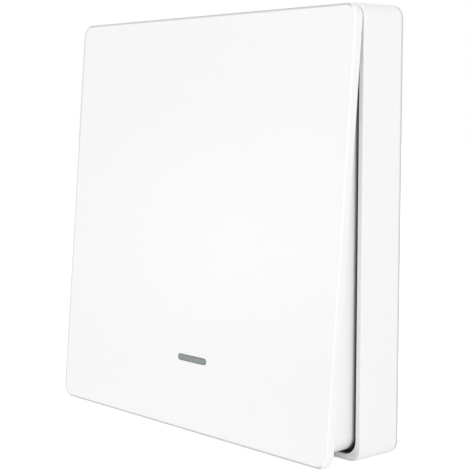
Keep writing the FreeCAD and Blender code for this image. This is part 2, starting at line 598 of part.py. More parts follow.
def make_housing():
    """The square tray: side walls, floor, bosses, hinge ears and windows."""
    body = new_body("housing")
    outer = new_sketch(body, "XZ_Plane")
    add_rounded(
        outer, f"-{HALF_WIDTH}", HALF_WIDTH, f"-{HALF_HEIGHT}", HALF_HEIGHT, dim("housing_corner")
    )
    add_pad(body, outer, dim("housing_depth"))
    tray = new_sketch(body, "XZ_Plane", dim("housing_depth"))
    add_rounded(tray, f"-{TRAY_X}", TRAY_X, f"-{TRAY_Z}", TRAY_Z, TRAY_CORNER)
    add_pocket(body, tray, f"Dims.housing_depth - {FLOOR_FRONT}")
    recess = new_sketch(body, "XZ_Plane", FLOOR_BACK)
    add_rounded(recess, f"-{TRAY_X}", TRAY_X, f"-{TRAY_Z}", TRAY_Z, TRAY_CORNER)
    add_pocket(body, recess, FLOOR_BACK)
    rim = value(dim("housing_depth"))
    outer_x, outer_z = value(HALF_WIDTH), value(HALF_HEIGHT)
    corner = value(dim("housing_corner"))

    def on_outline(edge):
        box = edge.BoundBox
        far_x = max(abs(box.XMin), abs(box.XMax))
        far_z = max(abs(box.ZMin), abs(box.ZMax))
        near = corner * (1 - math.sqrt(0.5))
        return far_x > outer_x - near and far_z > outer_z - near or reaches(edge, outer_x, outer_z)

    round_edges(
        body,
        dim("rim_rounding"),
        lambda e: (lies_at(e, rim) or lies_at(e, 0)) and on_outline(e),
    )
    round_edges(
        body,
        dim("rim_inner_rounding"),
        lambda e: lies_at(e, rim) and reaches(e, value(TRAY_X), value(TRAY_Z)),
    )
    bosses = new_sketch(body, "XZ_Plane", FLOOR_BACK)
    for across, up in screw_corners(COVER_SCREW_X, COVER_SCREW_LOW, COVER_SCREW_TOP):
        add_circle(bosses, across, up, dim("cover_screw_boss"))
    add_pad(body, bosses, f"{COVER_BACK} - {FLOOR_BACK}")
    cover_holes = new_sketch(body, "XZ_Plane", COVER_BACK)
    for across, up in screw_corners(COVER_SCREW_X, COVER_SCREW_LOW, COVER_SCREW_TOP):
        add_circle(cover_holes, across, up, dim("cover_screw_shank"))
    add_pocket(body, cover_holes, dim("cover_screw_length"))
    stands = new_sketch(body, "XZ_Plane", FLOOR_BACK)
    for across, up in board_corners():
        add_circle(stands, across, up, dim("board_boss"))
    add_pad(body, stands, f"{BOARD_BACK} - {FLOOR_BACK}")
    board_holes = new_sketch(body, "XZ_Plane", BOARD_BACK)
    for across, up in board_corners():
        add_circle(board_holes, across, up, dim("board_screw_shank"))
    add_pocket(body, board_holes, "Dims.board_screw_length - Dims.board_thickness")
    for side in SIDES:
        add_hinge_ear(body, side)
    windows = new_sketch(body, "XZ_Plane", FLOOR_FRONT)
    for side in SIDES:
        add_slot(
            windows,
            f"({side} * {WALL_SLOT_X})",
            "0",
            "(Dims.wall_slot_length + 2 * Dims.screw_head_margin)",
            "(Dims.wall_slot_width + 2 * Dims.screw_head_margin)",
        )
        for up, outward in ((HOOK_TOP_Z, 1), (HOOK_LOW_Z, -1)):
            inner = f"({up} - {outward} * (Dims.hook_thickness / 2 + Dims.hook_gap))"
            outer_edge = f"({up} + {outward} * (Dims.hook_thickness / 2 + Dims.hook_gap))"
            low, high = (inner, outer_edge) if outward > 0 else (outer_edge, inner)
            add_rectangle(
                windows,
                f"({side} * Dims.hook_place - Dims.hook_width / 2 - Dims.hook_gap)",
                f"({side} * Dims.hook_place + Dims.hook_width / 2 + Dims.hook_gap)",
                low,
                high,
            )
    add_pocket(body, windows, dim("floor_thickness"))
    notch = new_sketch(body, "XZ_Plane", dim("notch_depth"))
    add_rectangle(
        notch,
        "-Dims.notch_width / 2",
        "Dims.notch_width / 2",
        f"-({HALF_HEIGHT} + Dims.side_wall)",
        f"-({TRAY_Z} - Dims.side_wall)",
    )
    add_pocket(body, notch, "2 * Dims.notch_depth")
    return body


def board_corners():
    """The four corners of the circuit board where its screws stand."""
    across = f"({BOARD_X} - Dims.board_screw_inset)"
    low = f"({BOARD_LOW} + Dims.board_screw_inset)"
    top = f"({BOARD_TOP} - Dims.board_screw_inset)"
    return screw_corners(across, low, top)


def add_hinge_ear(body, side):
    """One upright ear with a round head, a bore and a snap-in mouth."""
    outer = f"({SKIRT_IN_X} - Dims.ear_skirt_gap)"
    start = f"({outer} - Dims.ear_thickness)" if side > 0 else f"(-{outer})"
    ear = new_sketch(body, "YZ_Plane", start)
    add_rectangle(
        ear,
        "-Dims.hinge_level",
        f"-{FLOOR_BACK}",
        f"{HINGE_Z} - Dims.ear_radius",
        f"{HINGE_Z} + Dims.ear_radius",
    )
    add_pad(body, ear, dim("ear_thickness"))
    head = new_sketch(body, "YZ_Plane", start)
    add_circle(head, "-Dims.hinge_level", HINGE_Z, dim("ear_radius"))
    add_pad(body, head, dim("ear_thickness"))
    end = f"({start} + Dims.ear_thickness)"
    bore = new_sketch(body, "YZ_Plane", end)
    add_circle(
        bore, "-Dims.hinge_level", HINGE_Z, "(Dims.pin_radius + Dims.pin_clearance)"
    )
    add_pocket(body, bore, dim("ear_thickness"))
    mouth = new_sketch(body, "YZ_Plane", end)
    add_rectangle(
        mouth,
        "-(Dims.hinge_level + 2 * Dims.ear_radius)",
        "-Dims.hinge_level",
        f"{HINGE_Z} - Dims.ear_mouth / 2",
        f"{HINGE_Z} + Dims.ear_mouth / 2",
    )
    add_pocket(body, mouth, dim("ear_thickness"))


def make_wall_plate():
    """The plate in the back of the housing, with screw slots, pad recesses and snap hooks."""
    body = new_body("wall_plate")
    across = f"({TRAY_X} - Dims.wall_plate_gap)"
    up = f"({TRAY_Z} - Dims.wall_plate_gap)"
    outline = new_sketch(body, "XZ_Plane")
    add_rounded(outline, f"-{across}", across, f"-{up}", up, TRAY_CORNER)
    add_pad(body, outline, dim("wall_plate_thickness"))
    slots = new_sketch(body, "XZ_Plane", dim("wall_plate_thickness"))
    for side in SIDES:
        add_slot(
            slots,
            f"({side} * {WALL_SLOT_X})",
            "0",
            dim("wall_slot_length"),
            dim("wall_slot_width"),
        )
    add_pocket(body, slots, dim("wall_plate_thickness"))
    recesses = new_sketch(body, "XZ_Plane", dim("pad_thickness"))
    for side in SIDES:
        add_rectangle(
            recesses,
            "-(Dims.pad_width / 2 + Dims.pad_gap)",
            "Dims.pad_width / 2 + Dims.pad_gap",
            f"{side} * Dims.pad_place - Dims.pad_height / 2 - Dims.pad_gap",
            f"{side} * Dims.pad_place + Dims.pad_height / 2 + Dims.pad_gap",
        )
    add_pocket(body, recesses, dim("pad_thickness"))
    finger_top = f"({FLOOR_FRONT} + Dims.hook_head)"
    barb_back = f"({FLOOR_FRONT} + Dims.hook_seat_gap)"
    root = "-(Dims.wall_plate_thickness + Dims.pad_thickness) / 2"
    for side in SIDES:
        for up, outward in ((HOOK_TOP_Z, 1), (HOOK_LOW_Z, -1)):
            hook = new_sketch(body, "YZ_Plane", f"({side} * Dims.hook_place)")
            inner = f"({up} - {outward} * Dims.hook_thickness / 2)"
            outer = f"({up} + {outward} * Dims.hook_thickness / 2)"
            tip = f"({up} + {outward} * (Dims.hook_thickness / 2 + Dims.hook_barb))"
            add_polygon(
                hook,
                (
                    (root, inner),
                    (root, outer),
                    (f"-{barb_back}", outer),
                    (f"-{barb_back}", tip),
                    (f"-{finger_top}", outer),
                    (f"-{finger_top}", inner),
                ),
            )
            add_pad(body, hook, dim("hook_width"), middle=True)
    return body


def make_adhesive_pads():
    """Two foam tape pads, flush with the wall plane in their recesses."""
    pads = [
        centred_block(
            "adhesive_pad",
            "0",
            f"{side} * Dims.pad_place",
            dim("pad_width"),
            dim("pad_height"),
            "0",
            dim("pad_thickness"),
        )
        for side in SIDES
    ]
    return grouped("adhesive_pads", pads)


def make_inner_cover():
    """The shallow box over the electronics, with its holes, lips and spring studs."""
    body = new_body("inner_cover")
    outline = new_sketch(body, "XZ_Plane", FLOOR_FRONT)
    add_rounded(
        outline, f"-{COVER_X}", COVER_X, COVER_LOW, COVER_TOP, dim("cover_corner")
    )
    add_pad(body, outline, f"{COVER_FRONT} - {FLOOR_FRONT}")
    inside = new_sketch(body, "XZ_Plane", COVER_BACK)
    add_rounded(
        inside,
        f"-{COVER_IN_X}",
        COVER_IN_X,
        COVER_IN_LOW,
        COVER_IN_TOP,
        "max(Dims.cover_corner - Dims.cover_thickness, Dims.least_corner)",
    )
    add_pocket(body, inside, f"{COVER_BACK} - {FLOOR_FRONT}")
    front = value(COVER_FRONT)
    round_edges(body, dim("cover_rounding"), lambda e: lies_at(e, front))
    lips = new_sketch(body, "XZ_Plane", COVER_BACK)
    for side in SIDES:
        add_rectangle(
            lips,
            f"({side} * Dims.catch_place - Dims.catch_width / 2 - Dims.lip_margin)",
            f"({side} * Dims.catch_place + Dims.catch_width / 2 + Dims.lip_margin)",
            f"({COVER_LOW} - Dims.lip_reach)",
            f"({COVER_LOW} + Dims.cover_rounding)",
        )
    add_pad(body, lips, dim("lip_thickness"))
    studs = new_sketch(body, "XZ_Plane", COVER_FRONT)
    for side in SIDES:
        add_circle(studs, f"({side} * {SPRING_X})", SPRING_Z, dim("spring_stud"))
    add_pad(body, studs, dim("spring_stud_height"))
    holes = new_sketch(body, "XZ_Plane", COVER_FRONT)
    add_circle(holes, "0", SWITCH_Z, "(Dims.cap_radius + Dims.cap_hole_gap)")
    add_circle(
        holes, CELL_X, dim("cell_height"), "(Dims.cell_radius + Dims.cell_opening_gap)"
    )
    add_rectangle(
        holes,
        f"({WINDOW_X} - Dims.guide_stem_length / 2 - Dims.guide_hole_gap)",
        f"({WINDOW_X} + Dims.guide_stem_length / 2 + Dims.guide_hole_gap)",
        f"({GUIDE_Z} - Dims.guide_stem_width / 2 - Dims.guide_hole_gap)",
        f"({GUIDE_Z} + Dims.guide_stem_width / 2 + Dims.guide_hole_gap)",
    )
    add_pocket(body, holes, dim("cover_thickness"))
    screws = new_sketch(body, "XZ_Plane", COVER_FRONT)
    for across, up in screw_corners(COVER_SCREW_X, COVER_SCREW_LOW, COVER_SCREW_TOP):
        add_circle(screws, across, up, "(Dims.cover_screw_head + Dims.screw_clearance)")
    sinks = add_pocket(body, screws, "Dims.cover_thickness")
    slope = "atan((Dims.cover_screw_head - Dims.cover_screw_shank) / Dims.cover_thickness)"
    sinks.setExpression("TaperAngle", f"-{slope}")
    doc.recompute()
    return body


def make_cover_screws():
    """Four countersunk screws that hold the inner cover to the housing."""
    screws = []
    for across, up in screw_corners(COVER_SCREW_X, COVER_SCREW_LOW, COVER_SCREW_TOP):
        head = cone(
            "cover_screw_head",
            across,
            up,
            dim("cover_screw_shank"),
            dim("cover_screw_head"),
            COVER_BACK,
            COVER_FRONT,
        )
        shank = drum(
            "cover_screw_shank",
            across,
            up,
            dim("cover_screw_shank"),
            f"({COVER_FRONT} - Dims.cover_screw_length)",
            COVER_BACK,
        )
        screws.append(with_cross(joined("cover_screw", [head, shank]), across, up, COVER_FRONT))
    return grouped("cover_screws", screws)


def with_cross(screw, across, up, front):
    """A screw with a cross recess in its head."""
    long_side = dim("screw_recess_span")
    short_side = dim("screw_recess_width")
    back = f"({front} - Dims.screw_recess)"
    bars = [
        centred_block("recess_bar", across, up, long_side, short_side, back, front),
        centred_block("recess_bar", across, up, short_side, long_side, back, front),
    ]
    return cut("screw", screw, joined("recess", bars))


def make_circuit_board():
    """The main board, with clearance holes for its screws."""
    body = new_body("circuit_board")
    outline = new_sketch(body, "XZ_Plane", BOARD_BACK)
    add_rounded(outline, f"-{BOARD_X}", BOARD_X, BOARD_LOW, BOARD_TOP, dim("board_corner"))
    add_pad(body, outline, dim("board_thickness"))
    holes = new_sketch(body, "XZ_Plane", BOARD_FRONT)
    for across, up in board_corners():
        add_circle(holes, across, up, "(Dims.board_screw_shank + Dims.screw_clearance)")
    add_pocket(body, holes, dim("board_thickness"))
    return body


def make_board_screws():
    """Four pan-head screws that hold the board to the housing's bosses."""
    screws = []
    front = f"({BOARD_FRONT} + Dims.board_screw_head_height)"
    for across, up in board_corners():
        head = drum(
            "board_screw_head", across, up, dim("board_screw_head"), BOARD_FRONT, front
        )
        shank = drum(
            "board_screw_shank",
            across,
            up,
            dim("board_screw_shank"),
            f"({BOARD_FRONT} - Dims.board_screw_length)",
            BOARD_FRONT,
        )
        screws.append(with_cross(joined("board_screw", [head, shank]), across, up, front))
    return grouped("board_screws", screws)


def make_coin_cell():
    """The cell that lies on its leaf contact, edges rounded."""
    can = drum(
        "cell_can", CELL_X, dim("cell_height"), dim("cell_radius"), CELL_BACK, CELL_FRONT
    )
    return rounded_edges("coin_cell", can, dim("cell_rounding"), lambda e: e.BoundBox.YLength < 1e-3)


def make_battery_contact():
    """The leaf under the cell."""
    return centred_block(
        "battery_contact",
        CELL_X,
        dim("cell_height"),
        "(2 * Dims.cell_radius - 2 * Dims.cell_rounding)",
        dim("contact_width"),
        BOARD_FRONT,
        CELL_BACK,
    )


def make_battery_clip():
    """The strap bent over the cell, with a soldered foot at each end."""
    body = new_body("battery_clip")
    bend = new_sketch(body, "XY_Plane", dim("cell_height"))
    inner = "(Dims.cell_radius + Dims.clip_gap)"
    outer = "(Dims.cell_radius + Dims.clip_gap + Dims.clip_thickness)"
    foot = "(Dims.cell_radius + Dims.clip_gap + Dims.clip_foot)"
    top = f"({CELL_FRONT} + Dims.clip_thickness)"
    foot_front = f"({BOARD_FRONT} + Dims.clip_thickness)"
    outline = (
        (foot, BOARD_FRONT),
        (foot, foot_front),
        (outer, foot_front),
        (outer, top),
        (f"(-{outer})", top),
        (f"(-{outer})", foot_front),
        (f"(-{foot})", foot_front),
        (f"(-{foot})", BOARD_FRONT),
        (f"(-{inner})", BOARD_FRONT),
        (f"(-{inner})", CELL_FRONT),
        (inner, CELL_FRONT),
        (inner, BOARD_FRONT),
    )
    add_polygon(bend, [(f"({CELL_X} + {x})", f"-{level}") for x, level in outline])
    add_pad(body, bend, dim("clip_width"), middle=True)
    return body


def make_switch_base():
    """The tactile switch's plastic base with its cavity and four terminals."""
    body = new_body("switch_base")
    base = new_sketch(body, "XZ_Plane", BOARD_FRONT)
    half = "(Dims.switch_size / 2)"
    add_rectangle(base, f"-{half}", half, f"({SWITCH_Z} - {half})", f"({SWITCH_Z} + {half})")
    add_pad(body, base, dim("switch_height"))
    cavity = new_sketch(body, "XZ_Plane", SWITCH_FRONT)
    add_circle(cavity, "0", SWITCH_Z, dim("switch_cavity"))
    add_pocket(body, cavity, dim("switch_cavity_depth"))
    legs = new_sketch(body, "XZ_Plane", BOARD_FRONT)
    for side in SIDES:
        for row in SIDES:
            centre = f"({SWITCH_Z} + {row} * Dims.switch_terminal_place)"
            near = f"({side} * (Dims.switch_size / 2 - Dims.switch_terminal))"
            far = f"({side} * (Dims.switch_size / 2 + Dims.switch_terminal_reach))"
            left, right = (near, far) if side > 0 else (far, near)
            add_rectangle(
                legs,
                left,
                right,
                f"({centre} - Dims.switch_terminal)",
                f"({centre} + Dims.switch_terminal)",
            )
    add_pad(body, legs, dim("switch_terminal"))
    return body


def make_switch_cover():
    """The tactile switch's metal cover: a plate with a hole and two bent tabs."""
    half = "(Dims.switch_size / 2)"
    outer = f"({half} + Dims.switch_cover_thickness)"
    plate = centred_block(
        "switch_cover_plate",
        "0",
        SWITCH_Z,
        dim("switch_size"),
        f"(2 * {outer})",
        SWITCH_FRONT,
        SWITCH_COVER_FRONT,
    )
    tabs = []
    for side in SIDES:
        near = f"({SWITCH_Z} + {side} * {half})"
        far = f"({SWITCH_Z} + {side} * {outer})"
        low, high = (near, far) if side > 0 else (far, near)
        tabs.append(
            block(
                "switch_cover_tab",
                "-Dims.switch_tab_width / 2",
                "Dims.switch_tab_width / 2",
                f"({SWITCH_FRONT} - Dims.switch_tab_length)",
                SWITCH_FRONT,
                low,
                high,
            )
        )
    hole = drum(
        "switch_cover_hole",
        "0",
        SWITCH_Z,
        "(Dims.plunger_radius + Dims.plunger_clearance)",
        SWITCH_FRONT,
        SWITCH_COVER_FRONT,
    )
    return cut("switch_cover", joined("switch_cover_sheet", [plate, *tabs]), hole)


def make_switch_plunger():
    """The plunger with its flange under the metal cover."""
    flange = drum(
        "plunger_flange",
        "0",
        SWITCH_Z,
        dim("plunger_flange"),
        f"({FLANGE_FRONT} - Dims.plunger_flange_height)",
        FLANGE_FRONT,
    )
    stem = drum(
        "plunger_stem", "0", SWITCH_Z, dim("plunger_radius"), FLANGE_FRONT, dim("plunger_top")
    )
    return joined("switch_plunger", [flange, stem])


def make_plunger_cap():
    """The soft cap over the plunger's end."""
    outside = drum("cap_outside", "0", SWITCH_Z, dim("cap_radius"), CAP_BACK, CAP_FRONT)
    front = value(CAP_FRONT)
    rounded = rounded_edges("cap_rounded", outside, dim("cap_rounding"), lambda e: lies_at(e, front))
    inside = drum(
        "cap_inside", "0", SWITCH_Z, dim("plunger_radius"), CAP_BACK, dim("plunger_top")
    )
    return cut("plunger_cap", rounded, inside)


def make_rocker_frame():
    """The moving box behind the key plate: skirt, web, ribs, hinge pins, presser and catches."""
    body = new_body("rocker_frame")
    floor_line = f"({FLOOR_FRONT} + Dims.skirt_floor_gap)"
    side = new_sketch(body, "YZ_Plane")
    top, low = SKIRT_TOP, SKIRT_LOW
    add_polygon(
        side,
        (
            (f"-{pressed_clear(top, floor_line)}", top),
            (f"-{pressed_clear(low, floor_line)}", low),
            (f"-{key_back(low)}", low),
            (f"-{key_back(top)}", top),
        ),
    )
    add_pad(body, side, f"2 * {SKIRT_X}", middle=True)
    round_edges(body, dim("skirt_corner"), runs_out)
    hollow = new_sketch(body, "YZ_Plane")
    in_top, in_low = SKIRT_IN_TOP, SKIRT_IN_LOW
    add_polygon(
        hollow,
        (
            (f"-{FLOOR_BACK}", in_top),
            (f"-{FLOOR_BACK}", in_low),
            (f"-{web_back(in_low)}", in_low),
            (f"-{web_back(in_top)}", in_top),
        ),
    )
    add_pocket(body, hollow, f"2 * {SKIRT_IN_X}", middle=True)
    inner_x, heights = value(SKIRT_IN_X), (value(in_top), value(in_low))

    def inner_corner(edge):
        box = edge.BoundBox
        at_x = abs(abs(box.XMin) - inner_x) < 1e-3
        at_z = any(abs(box.ZMin - height) < 1e-3 for height in heights)
        return runs_out(edge) and at_x and at_z

    round_edges(body, "max(Dims.skirt_corner - Dims.skirt_wall, Dims.least_corner)", inner_corner)
    for place in (f"-{RIB_OUTER_X}", "-Dims.rib_inner_place"):
        add_upright_rib(body, place)
    for place in (dim("rib_inner_place"), RIB_OUTER_X):
        add_upright_rib(body, place)
    for height in (dim("rib_cross_upper"), RIB_LOW):
        add_cross_rib(body, height)
    for hand in SIDES:
        add_hinge_pin(body, hand)
        add_catch(body, hand)
    presser = new_sketch(body, "XZ_Plane", f"({CAP_FRONT} + Dims.presser_gap)")
    add_circle(presser, "0", SWITCH_Z, dim("presser_radius"))
    add_pad(body, presser, f"{web_middle(SWITCH_Z)} - {CAP_FRONT} - Dims.presser_gap")
    for name, level in (
        ("spring_seat_radius", dim("spring_seat_level")),
        ("spring_stud", "(Dims.spring_seat_level - Dims.spring_stud_height)"),
    ):
        seats = new_sketch(body, "XZ_Plane", level)
        for hand in SIDES:
            add_circle(seats, f"({hand} * {SPRING_X})", SPRING_Z, dim(name))
        add_pad(body, seats, f"{web_middle(SPRING_Z)} - {level}")
    window = new_sketch(body, "XZ_Plane", key_back(SKIRT_LOW))
    window_z = f"({KEY_TOP} - {WINDOW_DOWN} * cos({TILT}))"
    add_slot(
        window,
        WINDOW_X,
        window_z,
        "(Dims.window_length + 2 * Dims.window_hole_gap)",
        "(Dims.window_width + 2 * Dims.window_hole_gap)",
    )
    add_pocket(body, window, f"{key_back(SKIRT_LOW)} - {web_back(window_z)} + Dims.web_thickness")
    return body


def add_upright_rib(body, across):
    """One rib down the web, its free edge clear of the inner cover when the key is pressed."""
    rib = new_sketch(body, "YZ_Plane", across)
    clear = f"({COVER_FRONT} + Dims.rib_cover_gap)"
    low = f"({SKIRT_LOW} + Dims.skirt_wall / 2)"
    add_polygon(
        rib,
        (
            (f"-{pressed_clear(RIB_TOP, clear)}", RIB_TOP),
            (f"-{pressed_clear(low, clear)}", low),
            (f"-{web_middle(low)}", low),
            (f"-{web_middle(RIB_TOP)}", RIB_TOP),
        ),
    )
    add_pad(body, rib, dim("rib_thickness"), middle=True)


def add_cross_rib(body, height):
    """One rib across the web between the outer upright ribs."""
    rib = new_sketch(body, "YZ_Plane")
    clear = f"({COVER_FRONT} + Dims.rib_cover_gap)"
    low = f"({height} - Dims.rib_thickness / 2)"
    high = f"({height} + Dims.rib_thickness / 2)"
    add_polygon(
        rib,
        (
            (f"-{pressed_clear(low, clear)}", high),
            (f"-{pressed_clear(low, clear)}", low),
            (f"-{web_middle(low)}", low),
            (f"-{web_middle(high)}", high),
        ),
    )
    add_pad(body, rib, f"2 * {RIB_OUTER_X}", middle=True)


def add_hinge_pin(body, hand):
    """One pin from the skirt through its ear."""
    inner = (
        f"({SKIRT_IN_X} - Dims.ear_skirt_gap - Dims.ear_thickness - Dims.pin_end_gap)"
    )
    outer = f"({SKIRT_IN_X} + Dims.skirt_wall / 2)"
    start = inner if hand > 0 else f"(-{outer})"
    pin = new_sketch(body, "YZ_Plane", start)
    add_circle(pin, "-Dims.hinge_level", HINGE_Z, dim("pin_radius"))
    add_pad(body, pin, f"{outer} - {inner}")


def add_catch(body, hand):
    """One catch on the lower skirt, under a lip of the inner cover."""
    catch = new_sketch(body, "YZ_Plane", f"({hand} * Dims.catch_place)")
    front = f"({COVER_BACK} - Dims.catch_gap)"
    back = f"({front} - Dims.catch_height)"
    root = f"({SKIRT_LOW} + Dims.skirt_wall / 2)"
    tip = f"({SKIRT_IN_LOW} + Dims.catch_reach)"
    add_polygon(
        catch,
        (
            (f"-{front}", root),
            (f"-{front}", tip),
            (f"-({front} - Dims.catch_height / 2)", tip),
            (f"-{back}", SKIRT_IN_LOW),
            (f"-{back}", root),
        ),
    )
    add_pad(body, catch, dim("catch_width"), middle=True)


def lean_with_key(body):
    """Set a body whose own origin is at the key plate's upper back edge."""
    body.Placement = Placement(Vector(), Rotation(Vector(-1, 0, 0), value(dim("key_tilt"))))
    body.setExpression("Placement.Rotation.Angle", "Dims.key_tilt * 1 deg")
    body.setExpression("Placement.Base.y", f"-{KEY_BACK_TOP}")
    body.setExpression("Placement.Base.z", KEY_TOP)
    doc.recompute()


def make_key_plate():
    """The front plate with round corners and the slot for the indicator window."""
    body = new_body("key_plate")
    outline = new_sketch(body, "XZ_Plane")
    add_rounded(outline, f"-{HALF_WIDTH}", HALF_WIDTH, f"-{KEY_SLOPE}", "0", dim("key_corner"))
    add_pad(body, outline, dim("key_thickness"))
    front = value(dim("key_thickness"))
    round_edges(body, dim("key_front_rounding"), lambda e: lies_at(e, front))
    round_edges(body, dim("key_back_rounding"), lambda e: lies_at(e, 0))
    slot = new_sketch(body, "XZ_Plane", dim("key_thickness"))
    add_slot(
        slot,
        WINDOW_X,
        f"-{WINDOW_DOWN}",
        "(Dims.window_length + 2 * Dims.window_gap)",
        "(Dims.window_width + 2 * Dims.window_gap)",
    )
    add_pocket(body, slot, dim("key_thickness"))
    lean_with_key(body)
    return body


def make_light_guide():
    """The clear guide: window, flange behind the web and stem towards the indicator light."""
    body = new_body("light_guide")
    web = "Dims.web_thickness"
    nose = new_sketch(body, "XZ_Plane", f"-{web}")
    add_slot(nose, WINDOW_X, f"-{WINDOW_DOWN}", dim("window_length"), dim("window_width"))
    add_pad(body, nose, f"Dims.key_thickness + {web}")
    flange = new_sketch(body, "XZ_Plane", f"-({web} + Dims.guide_flange_height)")
    add_slot(
        flange,
        WINDOW_X,
        f"-{WINDOW_DOWN}",
        dim("guide_flange_length"),
        dim("guide_flange_width"),
    )
    add_pad(body, flange, dim("guide_flange_height"))
    stem = new_sketch(body, "XZ_Plane", "-Dims.guide_reach")
    add_rectangle(
        stem,
        f"{WINDOW_X} - Dims.guide_stem_length / 2",
        f"{WINDOW_X} + Dims.guide_stem_length / 2",
        f"-{WINDOW_DOWN} - Dims.guide_stem_width / 2",
        f"-{WINDOW_DOWN} + Dims.guide_stem_width / 2",
    )
    add_pad(body, stem, f"Dims.guide_reach - {web} - Dims.guide_flange_height / 2")
    lean_with_key(body)
    return body


def make_indicator_led():
    """The indicator light under the light guide."""
    base = centred_block(
        "led_base",
        WINDOW_X,
        GUIDE_Z,
        dim("led_width"),
        dim("led_height"),
        BOARD_FRONT,
        f"({BOARD_FRONT} + Dims.led_base)",
    )
    lens = drum(
        "led_lens",
        WINDOW_X,
        GUIDE_Z,
        dim("led_lens_radius"),
        f"({BOARD_FRONT} + Dims.led_base)",
        f"({BOARD_FRONT} + Dims.led_base + Dims.led_lens_height)",
    )
    return joined("indicator_led", [base, lens])


def coil(radius, wire, length, turns):
    """A wire coil about +Z from the origin: half turns that meet end to end within the length."""
    halves = round(2 * turns)
    rise = (length - 2 * wire) / halves
    slope = math.degrees(math.atan2(rise / 2, radius))
    half = Part.makeTorus(
        math.hypot(radius, rise / 2), wire, Vector(), Vector(0, 0, 1), 0, 360, 180
    )
    half.rotate(Vector(), Vector(0, 1, 0), slope)
    pieces = []
    for count in range(halves):
        piece = half.copy()
        piece.rotate(Vector(), Vector(0, 0, 1), 180 * count)
        piece.translate(Vector(0, 0, wire + rise * (count + 0.5)))
        pieces.append(piece)
    return pieces[0].multiFuse(pieces[1:])


def make_return_springs():
    """Two compression springs between the inner cover and the rocker's seats."""
    length = value(f"Dims.spring_seat_level - {COVER_FRONT}")
    spring = coil(
        value(dim("spring_radius")), value(dim("spring_wire")), length, value(dim("spring_turns"))
    )
    spring.rotate(Vector(), Vector(1, 0, 0), 90)
    level, up = value(COVER_FRONT), value(SPRING_Z)
    place = value(SPRING_X)
    shapes = []
    for side in SIDES:
        one = spring.copy()
        one.translate(Vector(side * place, -level, up))
        shapes.append(one)
    springs = doc.addObject("Part::Feature", "return_springs")
    springs.Label = "return_springs"
    springs.Shape = Part.makeCompound(shapes)
    return springs


def make_antenna():
    """The wire antenna: a coil along the board with a soldered leg."""
    radius, wire = value(dim("antenna_radius")), value(dim("antenna_wire"))
    wound = coil(radius, wire, value(dim("antenna_length")), value(dim("antenna_turns")))
    wound.rotate(Vector(), Vector(0, 1, 0), 90)
    level = value(f"{BOARD_FRONT} + Dims.antenna_gap") + radius + wire
    start, up = value(ANTENNA_X), value(ANTENNA_Z)
    wound.translate(Vector(start, -level, up))
    thick = value(dim("antenna_leg"))
    leg = Part.makeCylinder(
        thick, level + wire - value(BOARD_FRONT), Vector(0, -wire, 0), Vector(0, 1, 0)
    )
    leg.translate(Vector(start + wire, -level, up - radius))
    antenna = doc.addObject("Part::Feature", "antenna")
    antenna.Label = "antenna"
    antenna.Shape = wound.fuse(leg)
    return antenna


def make_radio():
    """The radio module's board and its metal can."""
    board = centred_block(
        "radio_module",
        RADIO_X,
        dim("radio_level"),
        dim("radio_width"),
        dim("radio_height"),
        BOARD_FRONT,
        f"({BOARD_FRONT} + Dims.radio_thickness)",
    )
    can = centred_block(
        "radio_can",
        RADIO_X,
        "Dims.radio_level - Dims.shield_drop",
        dim("shield_width"),
        dim("shield_height"),
        f"({BOARD_FRONT} + Dims.radio_thickness)",
        f"({BOARD_FRONT} + Dims.radio_thickness + Dims.shield_thickness)",
    )
    back = value(f"({BOARD_FRONT} + Dims.radio_thickness)")
    shield = rounded_edges(
        "radio_shield", can, dim("shield_rounding"), lambda e: not lies_at(e, back)
    )
    return [board, shield]


def make_crystal():
    """The crystal's can on its base plate."""
    front = f"({BOARD_FRONT} + Dims.crystal_thickness)"
    base = centred_block(
        "crystal_base",
        dim("crystal_across"),
        CRYSTAL_Z,
        "(Dims.crystal_length + 2 * Dims.crystal_base)",
        "(Dims.crystal_width + 2 * Dims.crystal_base)",
        BOARD_FRONT,
        f"({BOARD_FRONT} + Dims.crystal_base)",
    )
    ends = [
        drum(
            "crystal_end",
            f"(Dims.crystal_across + {side} * (Dims.crystal_length - Dims.crystal_width) / 2)",
            CRYSTAL_Z,
            "(Dims.crystal_width / 2)",
            BOARD_FRONT,
            front,
        )
        for side in SIDES
    ]
    middle = centred_block(
        "crystal_middle",
        dim("crystal_across"),
        CRYSTAL_Z,
        "(Dims.crystal_length - Dims.crystal_width)",
        dim("crystal_width"),
        BOARD_FRONT,
        front,
    )
    return joined("crystal", [base, middle, *ends])


def make_controller_chip():
    """The controller chip with a row of leads along each long side."""
    body = centred_block(
        "chip_body",
        dim("chip_across"),
        CHIP_Z,
        dim("chip_length"),
        dim("chip_width"),
        f"({BOARD_FRONT} + Dims.lead_width / 2)",
        f"({BOARD_FRONT} + Dims.chip_thickness)",
    )
    leads = []
    count = int(value(dim("lead_count")))
    for i in range(count):
        across = f"(Dims.chip_across + ({i} - (Dims.lead_count - 1) / 2) * Dims.lead_pitch)"
        leads.append(
            centred_block(
                "chip_lead",
                across,
                CHIP_Z,
                dim("lead_width"),
                "(Dims.chip_width + 2 * Dims.lead_reach)",
                BOARD_FRONT,
                f"({BOARD_FRONT} + Dims.lead_width)",
            )
        )
        leads.append(
            centred_block(
                "chip_lead_rise",
                across,
                CHIP_Z,
                dim("lead_width"),
                "(Dims.chip_width + Dims.lead_reach)",
                BOARD_FRONT,
                f"({BOARD_FRONT} + Dims.lead_rise)",
            )
        )
    return joined("controller_chip", [body, *leads])


